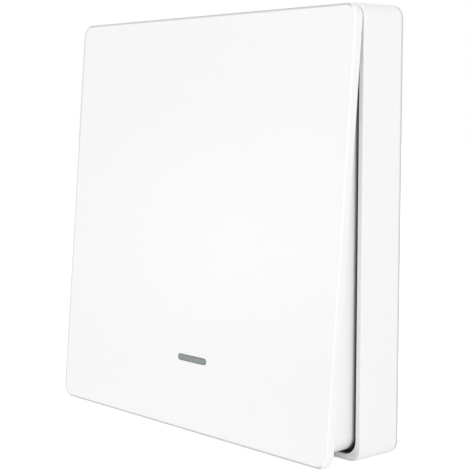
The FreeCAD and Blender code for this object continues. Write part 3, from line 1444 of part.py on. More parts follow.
def make_chip_resistors():
    """A row of chip resistors, each its own solid."""
    chips = [
        centred_block(
            "chip_resistor",
            f"(Dims.resistor_start + {i} * Dims.resistor_pitch)",
            RESISTOR_Z,
            dim("resistor_width"),
            dim("resistor_length"),
            BOARD_FRONT,
            f"({BOARD_FRONT} + Dims.resistor_thickness)",
        )
        for i in range(int(value(dim("resistor_count"))))
    ]
    return grouped("chip_resistors", chips)


def make_smoothing_capacitor():
    """The can capacitor on its square base."""
    back = f"({BOARD_FRONT} + Dims.capacitor_base)"
    front = f"({BOARD_FRONT} + Dims.capacitor_thickness)"
    base = centred_block(
        "capacitor_base",
        CAPACITOR_X,
        CAPACITOR_Z,
        "(2 * Dims.capacitor_radius + Dims.capacitor_base)",
        "(2 * Dims.capacitor_radius + Dims.capacitor_base)",
        BOARD_FRONT,
        back,
    )
    can = drum(
        "capacitor_can",
        CAPACITOR_X,
        CAPACITOR_Z,
        dim("capacitor_radius"),
        back,
        front,
    )
    edge_level = value(front)
    rounded = rounded_edges(
        "capacitor_rounded", can, dim("capacitor_rounding"), lambda e: lies_at(e, edge_level)
    )
    return joined("smoothing_capacitor", [base, rounded])


def main():
    """Build every piece, check it and write its file."""
    nodes = [
        make_wall_plate(),
        make_adhesive_pads(),
        make_housing(),
        make_inner_cover(),
        make_cover_screws(),
        make_circuit_board(),
        make_board_screws(),
        make_coin_cell(),
        make_battery_contact(),
        make_battery_clip(),
        make_switch_base(),
        make_switch_cover(),
        make_switch_plunger(),
        make_plunger_cap(),
        make_rocker_frame(),
        make_key_plate(),
        make_light_guide(),
        make_indicator_led(),
        make_return_springs(),
        make_antenna(),
        *make_radio(),
        make_crystal(),
        make_controller_chip(),
        make_chip_resistors(),
        make_smoothing_capacitor(),
    ]
    doc.recompute()
    for item in doc.Objects:
        if {"Invalid", "Error"} & set(item.State):
            raise RuntimeError(f"{item.Label}: {item.State}")
    os.makedirs("parts", exist_ok=True)
    for node in nodes:
        shape = node.Shape
        if shape.isNull() or not shape.isValid() or not shape.Solids:
            raise RuntimeError(f"{node.Label}: no valid solid")
        shape.exportStep(f"parts/{node.Label}.step")
        print(f"{node.Label}: {len(shape.Solids)} solids, {shape.Volume:.2f} mm3")


main()
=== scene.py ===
"""Looks of the wireless remote wall switch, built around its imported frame.

Everything is in metres in the frame of the part: +X to the right seen from the front, +Y into the
wall, +Z up, with the origin on the wall plane. A level is a distance in front of the wall plane.
"""
import json
import logging
import math
from collections.abc import Callable
from dataclasses import dataclass
from enum import Enum

import bmesh
import bpy
from mathutils import Matrix, Vector


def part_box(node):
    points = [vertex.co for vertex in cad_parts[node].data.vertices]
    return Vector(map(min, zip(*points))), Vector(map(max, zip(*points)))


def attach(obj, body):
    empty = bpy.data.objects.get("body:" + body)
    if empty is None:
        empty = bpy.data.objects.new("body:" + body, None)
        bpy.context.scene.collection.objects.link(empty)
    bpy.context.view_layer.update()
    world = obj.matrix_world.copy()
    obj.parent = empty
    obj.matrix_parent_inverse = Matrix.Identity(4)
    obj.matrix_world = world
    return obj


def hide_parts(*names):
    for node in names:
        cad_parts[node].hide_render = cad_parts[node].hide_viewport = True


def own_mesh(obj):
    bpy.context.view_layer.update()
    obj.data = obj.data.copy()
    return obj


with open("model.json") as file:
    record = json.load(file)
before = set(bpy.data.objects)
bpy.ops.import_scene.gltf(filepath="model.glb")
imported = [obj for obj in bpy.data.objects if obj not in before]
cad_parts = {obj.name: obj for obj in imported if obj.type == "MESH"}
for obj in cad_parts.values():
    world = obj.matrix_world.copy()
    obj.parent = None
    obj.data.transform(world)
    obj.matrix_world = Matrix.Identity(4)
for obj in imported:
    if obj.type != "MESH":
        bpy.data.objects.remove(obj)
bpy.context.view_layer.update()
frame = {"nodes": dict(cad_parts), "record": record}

log = logging.getLogger("wall_switch")
Colour = tuple[float, float, float]
Triple = tuple[float, float, float]
Socket = bpy.types.NodeSocket
Material = bpy.types.Material
Piece = bpy.types.Object
Value = Socket | float | Triple

# A point this close to a plane lies on it, and points this close to each other are one.
NEAR = 1e-6
TOUCH = 1e-7
# How much of an axis a face's normal holds where the face looks that way, and squarely that way.
FACING = 0.9
SQUARE = 0.99
# The turn that lays +Z along the way out of the wall.
UPRIGHT: Triple = (math.radians(90.0), 0.0, 0.0)
CORNER_SEGMENTS = 6
# How much longer a pattern's features are along each axis.
EVEN: Triple = (1.0, 1.0, 1.0)
ROLLED: Triple = (8.0, 1.0, 1.0)
# Nearly all of a noise pattern lies between these values.
NOISE_LOW = 0.3
NOISE_HIGH = 0.7


class Slot(Enum):
    """The record's material slots that have a finish. The other slots' nodes have their own."""

    SHELL = "shell_white"
    INNER = "inner_white"
    FOAM = "foam_grey"
    PLATED = "plated_steel"
    RADIO = "board_blue"
    CELL = "cell_steel"
    CONTACT = "contact_metal"
    BLACK = "black_plastic"
    TIN = "tin_plate"
    SPRING = "spring_steel"
    ANTENNA = "antenna_copper"
    PLUNGER = "plunger_red"
    SILICONE = "silicone_clear"


class Axis(Enum):
    """The axes that a material reads: across, level in front of the wall plane, and height."""

    ACROSS = 0
    LEVEL = 1
    HEIGHT = 2


class Kind(Enum):
    """The kinds of mesh part that can be selected, with what a mesh calls them."""

    FACE = "faces"
    EDGE = "edges"
    VERT = "verts"


def scaled(colour: Colour, share: float) -> Colour:
    """A colour made darker or paler by a share, held at white."""
    return tuple(min(1.0, value * share) for value in colour)


class Nodes:
    """The node tree of a material or a world, built up by short calls."""

    def __init__(self, tree: bpy.types.NodeTree) -> None:
        """Take a node tree in hand.

        Args:
            tree: the tree to add to.
        """
        self.nodes = tree.nodes
        self.links = tree.links

    def put(self, target: Socket, value: Value) -> None:
        """Link a socket to another, or set its value.

        Args:
            target: the socket.
            value: what goes into it.
        """
        if isinstance(value, Socket):
            self.links.new(value, target)
        else:
            target.default_value = (*value, 1.0) if target.type == "RGBA" else value

    def fill(self, node: bpy.types.Node, **values: Value) -> None:
        """Link or set a node's inputs, named with underscores for spaces."""
        for name, value in values.items():
            self.put(node.inputs[name.replace("_", " ")], value)

    def node(self, kind: str, **values: Value) -> bpy.types.Node:
        """Add a node.

        Args:
            kind: its type, without the start that all shader nodes share.
            values: what goes into its inputs, named with underscores for spaces.

        Returns:
            The new node.
        """
        node = self.nodes.new(f"ShaderNode{kind}")
        self.fill(node, **values)
        return node

    def span(self, value: Socket, low: float, high: float, start: float, end: float) -> Socket:
        """Map a value from one range to another, held at both ends.

        Args:
            value: the socket to read.
            low: the value that gives start.
            high: the value that gives end.
            start: result at the low value.
            end: result at the high value.

        Returns:
            The mapped value's socket.
        """
        return self.node(
            "MapRange", Value=value, From_Min=low, From_Max=high, To_Min=start, To_Max=end
        ).outputs["Result"]

    def math(self, operation: str, *values: Socket | float) -> Socket:
        """One step of arithmetic.

        Args:
            operation: the kind of Math node.
            values: its inputs, each a socket or a number.

        Returns:
            The result's socket.
        """
        node = self.node("Math")
        node.operation = operation
        for place, value in enumerate(values):
            self.put(node.inputs[place], value)
        return node.outputs[0]

    def product(self, *values: Socket) -> Socket:
        """Several values multiplied.

        Args:
            values: their sockets.

        Returns:
            The product's socket.
        """
        total = values[0]
        for value in values[1:]:
            total = self.math("MULTIPLY", total, value)
        return total


class Tree(Nodes):
    """A material's node tree with one surface shader, in object space."""

    def __init__(self, name: str) -> None:
        """Start an empty material.

        Args:
            name: the material's name.
        """
        self.material = bpy.data.materials.new(name)
        self.material.use_nodes = True
        super().__init__(self.material.node_tree)
        self.nodes.clear()
        self.surface = self.node("BsdfPrincipled")
        self.output = self.node("OutputMaterial", Surface=self.surface.outputs["BSDF"])
        self.place = self.node("TexCoord").outputs["Object"]

    def set(self, **values: Value) -> None:
        """Link or set the surface shader's inputs, named with underscores for spaces."""
        self.fill(self.surface, **values)

    def axes(self) -> tuple[Socket, Socket, Socket]:
        """The place across, the level in front of the wall plane and the height, in metres."""
        split = self.node("SeparateXYZ", Vector=self.place).outputs
        return split["X"], self.math("MULTIPLY", split["Y"], -1.0), split["Z"]

    def noise(self, size: float, detail: float = 2.0, stretch: Triple = EVEN) -> Socket:
        """A noise pattern.

        Args:
            size: width of its features in metres.
            detail: how many finer layers it has.
            stretch: how much longer the features are along each axis.

        Returns:
            The pattern's value socket, about 0 to 1.
        """
        scale = [1.0 / (size * longer) for longer in stretch]
        place = self.node("Mapping", Vector=self.place, Scale=scale).outputs["Vector"]
        return self.node("TexNoise", Vector=place, Scale=1.0, Detail=detail).outputs["Fac"]

    def cells(self, size: float, feature: str) -> Socket:
        """Distance in a pattern of straight-sided cells.

        Args:
            size: width of the cells in metres.
            feature: F1 for the nearest cell's middle, F2 for the next one's.

        Returns:
            The distance's socket, in cell widths.
        """
        texture = self.node("TexVoronoi", Vector=self.place, Scale=1.0 / size)
        texture.distance = "CHEBYCHEV"
        texture.feature = feature
        return texture.outputs["Distance"]

    def mixed(self, factor: Socket, first: Value, second: Value) -> Socket:
        """A colour between two by a factor.

        Args:
            factor: 0 for the first colour and 1 for the second.
            first: the colour at 0, or its socket.
            second: the colour at 1, or its socket.

        Returns:
            The colour's socket.
        """
        node = self.node("Mix")
        node.data_type = "RGBA"
        self.fill(node, Factor=factor, A=first, B=second)
        return node.outputs["Result"]

    def sheen(self, pattern: Socket, smooth: float, rough: float) -> None:
        """Let a noise pattern vary the roughness between two values."""
        self.set(Roughness=self.span(pattern, NOISE_LOW, NOISE_HIGH, smooth, rough))

    def bump(self, height: Socket, depth: float) -> None:
        """Add relief by a pattern, with its depth in metres."""
        node = self.node("Bump", Strength=1.0, Distance=depth, Height=height)
        self.set(Normal=node.outputs["Normal"])


@dataclass(frozen=True)
class Outline:
    """A rounded rectangle on an upright face that leans back by the tilt.

    Its middle is given across and by its rise along the face from the origin. The halves reach to
    the middles of its corner arcs.
    """

    across: float
    rise: float
    half_across: float
    half_upright: float
    radius: float
    tilt: float = math.radians(4.65)

    def inset(self, tree: Tree) -> Socket:
        """How far a point lies inside the outline.

        Args:
            tree: the node tree to add to.

        Returns:
            A socket with the distance in metres.
        """
        across, level, height = tree.axes()
        lifted = tree.math("MULTIPLY", height, math.cos(self.tilt))
        leaned = tree.math("MULTIPLY", level, math.sin(self.tilt))
        upright = tree.math("SUBTRACT", tree.math("SUBTRACT", lifted, leaned), self.rise)
        squares = []
        for value, half in (
            (tree.math("SUBTRACT", across, self.across), self.half_across),
            (upright, self.half_upright),
        ):
            past = tree.math("SUBTRACT", tree.math("ABSOLUTE", value), half)
            squares.append(tree.math("POWER", tree.math("MAXIMUM", past, 0.0), 2.0))
        reach = tree.math("SQRT", tree.math("ADD", *squares))
        return tree.math("SUBTRACT", self.radius, reach)


@dataclass(frozen=True)
class PaintedEdgeShade:
    """A thin grey line of painted shade along the rounded front edge of a face.

    The line ends on the right at its place of fading out. The front is the face's distance from
    the origin, square to the face.
    """

    outline: Outline
    front: float
    fade_out: float
    width: float = 0.0006
    depth: float = 0.0003
    tone: float = 0.62

    def factor(self, tree: Tree) -> Socket:
        """How strong the painted shade is.

        Args:
            tree: the node tree to add to.

        Returns:
            A socket that is 1 at the front edge and 0 elsewhere.
        """
        across, level, height = tree.axes()
        turned = tree.math("MULTIPLY", level, math.cos(self.outline.tilt))
        raised = tree.math("MULTIPLY", height, math.sin(self.outline.tilt))
        ahead = tree.math("ADD", turned, raised)
        line = tree.span(self.outline.inset(tree), self.width / 2, self.width, 1.0, 0.0)
        shown = tree.span(ahead, self.front - self.depth, self.front - self.depth / 2, 0.0, 1.0)
        kept = tree.span(across, self.fade_out - self.width, self.fade_out, 1.0, 0.0)
        return tree.product(line, shown, kept)


@dataclass(frozen=True)
class PaintedBackEdgeShade:
    """A thin grey line of painted shade along the edge that lies against the wall."""

    level: float = 0.0008
    tone: float = 0.62

    def factor(self, tree: Tree) -> Socket:
        """How strong the painted shade is: 1 at the wall and 0 in front of the line."""
        return tree.span(tree.axes()[Axis.LEVEL.value], self.level / 2, self.level, 1.0, 0.0)


@dataclass(frozen=True)
class PaintedGapShade:
    """A dark band of painted shade on the walls of the narrow gap between housing and skirt.

    The reach is the larger distance from the middle, sideways or upright, and the levels lie in
    front of the wall plane. The band is darkest between the two middle levels.
    """

    reach_low: float
    reach_high: float
    tone: float = 0.22
    edge: float = 0.00004
    levels: tuple[float, float, float, float] = (0.0072, 0.0085, 0.0100, 0.0109)

    def factor(self, tree: Tree) -> Socket:
        """How dark the band is.

        Args:
            tree: the node tree to add to.

        Returns:
            A socket from 0, bare surface, to 1, the darkest part of the band.
        """
        across, level, height = tree.axes()
        reach = tree.math("MAXIMUM", tree.math("ABSOLUTE", across), tree.math("ABSOLUTE", height))
        return tree.product(
            tree.span(reach, self.reach_low, self.reach_low + self.edge, 0.0, 1.0),
            tree.span(reach, self.reach_high, self.reach_high + self.edge, 1.0, 0.0),
            tree.span(level, self.levels[0], self.levels[1], 0.0, 1.0),
            tree.span(level, self.levels[2], self.levels[3], 1.0, 0.0),
        )


class Finish:
    """The look of a surface. Each kind lays its own nodes on a material's tree."""

    def lay(self, tree: Tree) -> None:
        """Lay the finish's nodes.

        Args:
            tree: the node tree to add to.
        """
        raise NotImplementedError

    def build(self, name: str) -> Material:
        """Make a material with this finish.

        Args:
            name: the material's name.

        Returns:
            The finished material.
        """
        tree = Tree(name)
        self.lay(tree)
        return tree.material


@dataclass(frozen=True)
class MouldedPlastic(Finish):
    """Injection-moulded plastic with a fine spark-eroded skin.

    Fields: the colour and how far it varies, the roughness and how far it varies, the skin's grain
    and its depth, the size of the flow marks, and the zones of painted shade, dimmer than the rest.
    """

    colour: Colour
    variation: float = 0.008
    roughness: float = 0.42
    spread: float = 0.02
    grain: float = 0.00016
    depth: float = 0.0000012
    flow: float = 0.018
    shades: tuple[PaintedGapShade | PaintedEdgeShade | PaintedBackEdgeShade, ...] = ()

    def lay(self, tree: Tree) -> None:
        """Lay the flow marks, the zones of painted shade and the skin.

        Args:
            tree: the node tree to add to.
        """
        tree.set(IOR=1.5, Specular_IOR_Level=0.5)
        cloud = tree.noise(self.flow, detail=3.0)
        colour = tree.mixed(cloud, scaled(self.colour, 1.0 - self.variation), self.colour)
        # Each zone of painted shade darkens the colour towards its tone.
        for shade in self.shades:
            colour = tree.mixed(shade.factor(tree), colour, scaled(self.colour, shade.tone))
        tree.set(Base_Color=colour)
        tree.sheen(cloud, self.roughness - self.spread, self.roughness + self.spread)
        tree.bump(tree.noise(self.grain, detail=1.0), self.depth)


@dataclass(frozen=True)
class Metal(Finish):
    """Bare or plated metal with drawn or rolled marks along one axis.

    Fields: the colour and its share in the marks, the roughness and how far it goes down and up,
    how much longer the marks are along each axis, and their width and depth.
    """

    colour: Colour
    dull: float = 0.86
    roughness: float = 0.3
    smoother: float = 0.06
    rougher: float = 0.08
    stretch: Triple = EVEN
    grain: float = 0.00012
    depth: float = 0.0000015

    def lay(self, tree: Tree) -> None:
        """Lay the marks in colour, roughness and relief.

        Args:
            tree: the node tree to add to.
        """
        tree.set(Metallic=1.0)
        marks = tree.noise(self.grain, detail=3.0, stretch=self.stretch)
        tree.set(Base_Color=tree.mixed(marks, scaled(self.colour, self.dull), self.colour))
        tree.sheen(marks, self.roughness - self.smoother, self.roughness + self.rougher)
        tree.bump(marks, self.depth)


@dataclass(frozen=True)
class Slab:
    """A layer of space between two values of one axis, in metres."""

    axis: Axis
    low: float
    high: float

    def inside(self, tree: Tree) -> Socket:
        """A socket that is 1 in the layer and 0 outside it.

        Args:
            tree: the node tree to add to.

        Returns:
            The socket.
        """
        value = tree.axes()[self.axis.value]
        above = tree.math("GREATER_THAN", value, self.low)
        return tree.product(above, tree.math("LESS_THAN", value, self.high))


@dataclass(frozen=True)
class Look:
    """The plain values of one surface: its colour, and how metallic and rough it is."""

    colour: Colour
    metallic: float = 0.0
    roughness: float = 0.4


@dataclass(frozen=True)
class TwoLooks(Finish):
    """A small component with one look inside a layer of space and another outside it.

    Most are a dark moulding between tinned ends.
    """

    slab: Slab
    inner: Look = Look((0.035, 0.035, 0.038), roughness=0.45)
    outer: Look = Look((0.68, 0.68, 0.67), metallic=1.0, roughness=0.28)
    grain: float = 0.0002
    depth: float = 0.000001

    def lay(self, tree: Tree) -> None:
        """Lay both looks and a fine grain.

        Args:
            tree: the node tree to add to.
        """
        inside = self.slab.inside(tree)
        outer, inner = self.outer, self.inner
        tree.set(
            Base_Color=tree.mixed(inside, outer.colour, inner.colour),
            Metallic=tree.span(inside, 0.0, 1.0, outer.metallic, inner.metallic),
            Roughness=tree.span(inside, 0.0, 1.0, outer.roughness, inner.roughness),
        )
        tree.bump(tree.noise(self.grain), self.depth)


@dataclass(frozen=True)
class SmokedWindow(Finish):
    """The grey indicator window, with painted shade along its border where it meets the slot."""

    outline: Outline
    colour: Colour = (0.234, 0.266, 0.255)
    # Painted shade: the border colour, darker where the window meets the slot's gap.
    border: Colour = (0.135, 0.155, 0.149)
    border_width: float = 0.00028
    roughness: float = 0.28

    def lay(self, tree: Tree) -> None:
        """Lay the painted shade along the border, round the window's colour.

        Args:
            tree: the node tree to add to.
        """
        tree.set(Roughness=self.roughness, IOR=1.49)
        edge = tree.span(self.outline.inset(tree), 0.0, self.border_width, 1.0, 0.0)
        tree.set(Base_Color=tree.mixed(edge, self.colour, self.border))


@dataclass(frozen=True)
class SolderMask(Finish):
    """A circuit board's coat over its copper tracks, with bare rings at its four screw holes.

    The holes lie at the same distances sideways and upright from a middle height. The mesh is the
    spacing of the tracks, and a track's width is a share of it.
    """

    mask: Colour = (0.020, 0.150, 0.060)
    over_copper: Colour = (0.050, 0.270, 0.115)
    bare: Colour = (0.78, 0.62, 0.34)
    roughness: float = 0.32
    mesh: float = 0.0028
    track: float = 0.085
    hole_across: float = 0.0265
    hole_upright: float = 0.0255
    middle: float = -0.002
    ring: float = 0.0022
    relief: float = 0.00002

    def lay(self, tree: Tree) -> None:
        """Lay the tracks under the coat, and the bare rings over it.

        Args:
            tree: the node tree to add to.
        """
        tree.set(Roughness=self.roughness)
        between = tree.math("SUBTRACT", tree.cells(self.mesh, "F2"), tree.cells(self.mesh, "F1"))
        tracks = tree.math("LESS_THAN", between, self.track)
        coat = tree.mixed(tracks, self.mask, self.over_copper)
        across, _, height = tree.axes()
        right = tree.math("SUBTRACT", tree.math("ABSOLUTE", across), self.hole_across)
        up = tree.math("ABSOLUTE", tree.math("SUBTRACT", height, self.middle))
        up = tree.math("SUBTRACT", up, self.hole_upright)
        square = tree.math("ADD", tree.math("POWER", right, 2.0), tree.math("POWER", up, 2.0))
        ringed = tree.math("LESS_THAN", square, self.ring**2)
        tree.set(Base_Color=tree.mixed(ringed, coat, self.bare), Metallic=ringed)
        tree.bump(tracks, self.relief)


@dataclass(frozen=True)
class FoamTape(Finish):
    """Closed-cell foam, seen at the cut edge of the tape, with darker pits between its cells."""

    colour: Colour = (0.80, 0.80, 0.78)
    pits: float = 0.82
    cell: float = 0.00022
    depth: float = 0.00005

    def lay(self, tree: Tree) -> None:
        """Lay the cut cells in colour and relief.

        Args:
            tree: the node tree to add to.
        """
        tree.set(Roughness=0.85, Specular_IOR_Level=0.3)
        cells = tree.noise(self.cell)
        tree.set(Base_Color=tree.mixed(cells, scaled(self.colour, self.pits), self.colour))
        tree.bump(cells, self.depth)


@dataclass(frozen=True)
class ReleasePaper(Finish):
    """The waxed paper that covers the tape's sticky face, with faint fibres and creases."""

    colour: Colour = (0.84, 0.78, 0.62)
    paler: float = 1.06
    fibre: float = 0.0004
    fibre_stretch: Triple = (3.0, 1.0, 1.0)
    crease: float = 0.006
    depth: float = 0.00006

    def lay(self, tree: Tree) -> None:
        """Lay the fibres in colour and the creases in relief.

        Args:
            tree: the node tree to add to.
        """
        tree.set(Roughness=0.34, IOR=1.45)
        fibres = tree.noise(self.fibre, detail=3.0, stretch=self.fibre_stretch)
        tree.set(Base_Color=tree.mixed(fibres, self.colour, scaled(self.colour, self.paler)))
        tree.bump(tree.noise(self.crease), self.depth)


class Bench:
    """Short calls over the modelling operators, one open piece at a time."""

    @staticmethod
    def choose(*pieces: Piece) -> None:
        """Select nothing but these objects and make the first of them active.

        Args:
            pieces: the objects, or none.
        """
        bpy.ops.object.select_all(action="DESELECT")
        for piece in pieces:
            piece.select_set(True)
        if pieces:
            bpy.context.view_layer.objects.active = pieces[0]

    @staticmethod
    def keep_place() -> Piece:
        """Move the selected object's place, turn and scale into its mesh."""
        bpy.ops.object.transform_apply(location=True, rotation=True, scale=True)
        return bpy.context.object

    @staticmethod
    def cube(low: Triple, high: Triple) -> Piece:
        """A box between two corners.

        Args:
            low: its lowest corner.
            high: its highest corner.

        Returns:
            The new object, which is the only one selected.
        """
        Bench.choose()
        middle = [(a + b) / 2 for a, b in zip(low, high)]
        bpy.ops.mesh.primitive_cube_add(size=1.0, location=middle)
        bpy.context.object.scale = [b - a for a, b in zip(low, high)]
        return Bench.keep_place()

    @staticmethod
    def drum(radius: float, back: float, front: float, sides: int) -> Piece:
        """A round bar square to the wall, straight in front of the origin.

        Args:
            radius: its radius.
            back: level of its back end.
            front: level of its front end.
            sides: how many sides it has.

        Returns:
            The new object, which is the only one selected.
        """
        Bench.choose()
        bpy.ops.mesh.primitive_cylinder_add(
            vertices=sides,
            radius=radius,
            depth=front - back,
            location=(0.0, -(front + back) / 2, 0.0),
            rotation=UPRIGHT,
        )
        return Bench.keep_place()

    @staticmethod
    def circle(across: float, radius: float, sides: int) -> Piece:
        """An upright circle beside the origin, to be wound about +Z.

        Args:
            across: how far its middle is from the origin.
            radius: its radius.
            sides: how many sides it has.

        Returns:
            The new object, which is the only one selected.
        """
        Bench.choose()
        bpy.ops.mesh.primitive_circle_add(
            vertices=sides, radius=radius, location=(across, 0.0, 0.0), rotation=UPRIGHT
        )
        return Bench.keep_place()

    @staticmethod
    def wind(profile: Piece, turns: float, rise: float, sections: int) -> None:
        """Wind a profile about +Z.

        Args:
            profile: the object to wind.
            turns: how many turns it makes.
            rise: height that it gains over all its turns.
            sections: how many sections a turn has.
        """
        screw = profile.modifiers.new("winding", "SCREW")
        screw.axis = "Z"
        screw.angle = 2 * math.pi * turns
        screw.screw_offset = rise
        screw.steps = screw.render_steps = round(sections * turns)
        Bench.apply(profile)

    @staticmethod
    def close() -> None:
        """Leave edit mode."""
        bpy.ops.object.mode_set(mode="OBJECT")

    @staticmethod
    def pick(kind: Kind, test: Callable[..., bool]) -> None:
        """Open the active object and select parts of its mesh.

        Args:
            kind: which kind of part.
            test: says of each whether it is selected.
        """
        bpy.ops.object.mode_set(mode="EDIT")
        bpy.ops.mesh.select_mode(type=kind.name)
        bpy.ops.mesh.select_all(action="DESELECT")
        data = bpy.context.edit_object.data
        for part in getattr(bmesh.from_edit_mesh(data), kind.value):
            part.select_set(test(part))
        bmesh.update_edit_mesh(data)

    @staticmethod
    def faces(test: Callable[[Vector, Vector], bool]) -> None:
        """Open the active object and select faces by their middle and their normal."""
        Bench.pick(Kind.FACE, lambda face: test(face.calc_center_median(), face.normal))

    @staticmethod
    def edges(test: Callable[[Vector, Vector], bool]) -> None:
        """Open the active object and select edges by their two ends."""
        Bench.pick(Kind.EDGE, lambda edge: test(edge.verts[0].co, edge.verts[1].co))

    @staticmethod
    def points(test: Callable[[Vector], bool]) -> None:
        """Open the active object and select points by their place."""
        Bench.pick(Kind.VERT, lambda point: test(point.co))

    @staticmethod
    def bevel(offset: float, segments: int) -> None:
        """Bevel the selected edges and close the piece."""
        bpy.ops.mesh.bevel(offset=offset, segments=segments, affect="EDGES")
        Bench.close()

    @staticmethod
    def shift(across: float) -> None:
        """Move what is selected sideways and close the piece."""
        bpy.ops.transform.translate(value=(across, 0.0, 0.0))
        Bench.close()

    @staticmethod
    def narrow(across: float, upright: float, middle: Triple = (0.0, 0.0, 0.0)) -> None:
        """Scale what is selected sideways and upright about a middle, and close the piece."""
        bpy.ops.transform.resize(value=(across, 1.0, upright), center_override=middle)
        Bench.close()

    @staticmethod
    def round_uprights(
        radius: float, test: Callable[[Vector], bool] = lambda place: True
    ) -> None:
        """Round the edges that run square to the wall.

        Args:
            radius: their new radius.
            test: picks an edge by its place, where not all are rounded.
        """
        Bench.edges(lambda a, b: abs(a.x - b.x) + abs(a.z - b.z) < TOUCH and test(a))
        Bench.bevel(radius, CORNER_SEGMENTS)

    @staticmethod
    def cap_ends() -> None:
        """Close the open ends of the active object."""
        Bench.edges(lambda a, b: True)
        bpy.ops.mesh.fill_holes(sides=0)
        Bench.close()

    @staticmethod
    def join(name: str, *pieces: Piece) -> Piece:
        """Join objects into one.

        Args:
            name: the name of the result.
            pieces: the objects; the first keeps its materials in front.

        Returns:
            The joined object.
        """
        Bench.choose(*pieces)
        bpy.ops.object.join()
        joined = bpy.context.object
        joined.name = name
        return joined

    @staticmethod
    def apply(piece: Piece) -> None:
        """Apply all modifiers of an object."""
        Bench.choose(piece)
        for modifier in list(piece.modifiers):
            bpy.ops.object.modifier_apply(modifier=modifier.name)

    @staticmethod
    def face_outwards(piece: Piece, smooth: float = 35.0) -> None:
        """Turn a closed piece's faces outwards and shade it smooth.

        Args:
            piece: the object.
            smooth: largest angle in degrees that is shaded smooth.
        """
        Bench.choose(piece)
        bpy.ops.object.mode_set(mode="EDIT")
        bpy.ops.mesh.select_all(action="SELECT")
        bpy.ops.mesh.remove_doubles(threshold=TOUCH)
        bpy.ops.mesh.normals_make_consistent(inside=False)
        Bench.close()
        bpy.ops.object.shade_smooth_by_angle(angle=math.radians(smooth))

    @staticmethod
    def settle(piece: Piece, slot: Slot, node: str) -> None:
        """Fix a finished piece to the base and hide the node that it replaces.

        Args:
            piece: the finished object.
            slot: not used.
            node: the node that it replaces.
        """
        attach(piece, "base")
        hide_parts(node)
        log.info("modelled %s", piece.name)


@dataclass(frozen=True)
class TapePads:
    """Two foam tape pads in the wall plate's recesses, each under a slit sheet of release paper.

    The waist is how far the foam's cut edge is drawn in, between the rows at the given levels. The
    paper's slit is at its place across and leans by the slant over the pad's height.
    """

    node: str = "adhesive_pads"
    height: float = 0.014
    corner: float = 0.0012
    paper: float = 0.00007
    waist: float = 0.00014
    rows: tuple[float, ...] = (0.00022, 0.00044, 0.00066)
    slit: float = 0.013
    slit_width: float = 0.0003
    slant: float = 0.002
    fill: float = 0.9

    def foam(self, low: Vector, high: Vector, finish: Material) -> Piece:
        """The foam core, drawn in a little along its cut edge.

        Args:
            low: its lowest corner.
            high: its highest corner.
            finish: its material.

        Returns:
            The core.
        """
        core = Bench.cube(low, high)
        Bench.round_uprights(self.corner)
        for level in self.rows:
            Bench.faces(lambda middle, normal: True)
            bpy.ops.mesh.bisect(plane_co=(0.0, -level, 0.0), plane_no=(0.0, 1.0, 0.0))
            Bench.close()
        half = (high - low) / 2
        Bench.points(lambda place: self.rows[0] - NEAR < -place.y < self.rows[-1] + NEAR)
        Bench.narrow(1.0 - self.waist / half.x, 1.0 - self.waist / half.z, (high + low) / 2)
        core.data.materials.append(finish)
        return core

    def sheet(self, low: Vector, high: Vector, finish: Material) -> Piece:
        """The release paper, slit on a slant so that it peels from the middle.

        Args:
            low: its lowest corner.
            high: its highest corner.
            finish: its material.

        Returns:
            Both parts of the paper as one object.
        """
        left_end = self.slit - self.slit_width / 2
        right_end = self.slit + self.slit_width / 2
        parts = []
        for outer, end in ((low.x, left_end), (high.x, right_end)):
            left, right = sorted((outer, end))
            part = Bench.cube((left, low.y, low.z), (right, high.y, high.z))
            Bench.points(lambda place: abs(place.x - end) < NEAR and place.z > high.z - NEAR)
            Bench.shift(self.slant)
            Bench.round_uprights(self.corner, lambda place: abs(place.x - outer) < NEAR)
            parts.append(part)
        sheet = Bench.join("release_paper", *parts)
        sheet.data.materials.append(finish)
        return sheet

    def build(self, foam: Material) -> None:
        """Build and settle both pads.

        Args:
            foam: material of the foam.
        """
        low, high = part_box(self.node)
        liner = ReleasePaper().build("release_paper")
        for name, bottom in (("tape_pad_upper", high.z - self.height), ("tape_pad_lower", low.z)):
            foot = Vector((low.x, low.y, bottom))
            top = Vector((high.x, high.y, bottom + self.height))
            core = self.foam(foot, top - Vector((0.0, self.paper / 2, 0.0)), foam)
            paper = self.sheet(Vector((low.x, high.y - self.paper, bottom)), top, liner)
            pad = Bench.join(name, core, paper)
            Bench.face_outwards(pad)
            Bench.settle(pad, Slot.FOAM, self.node)


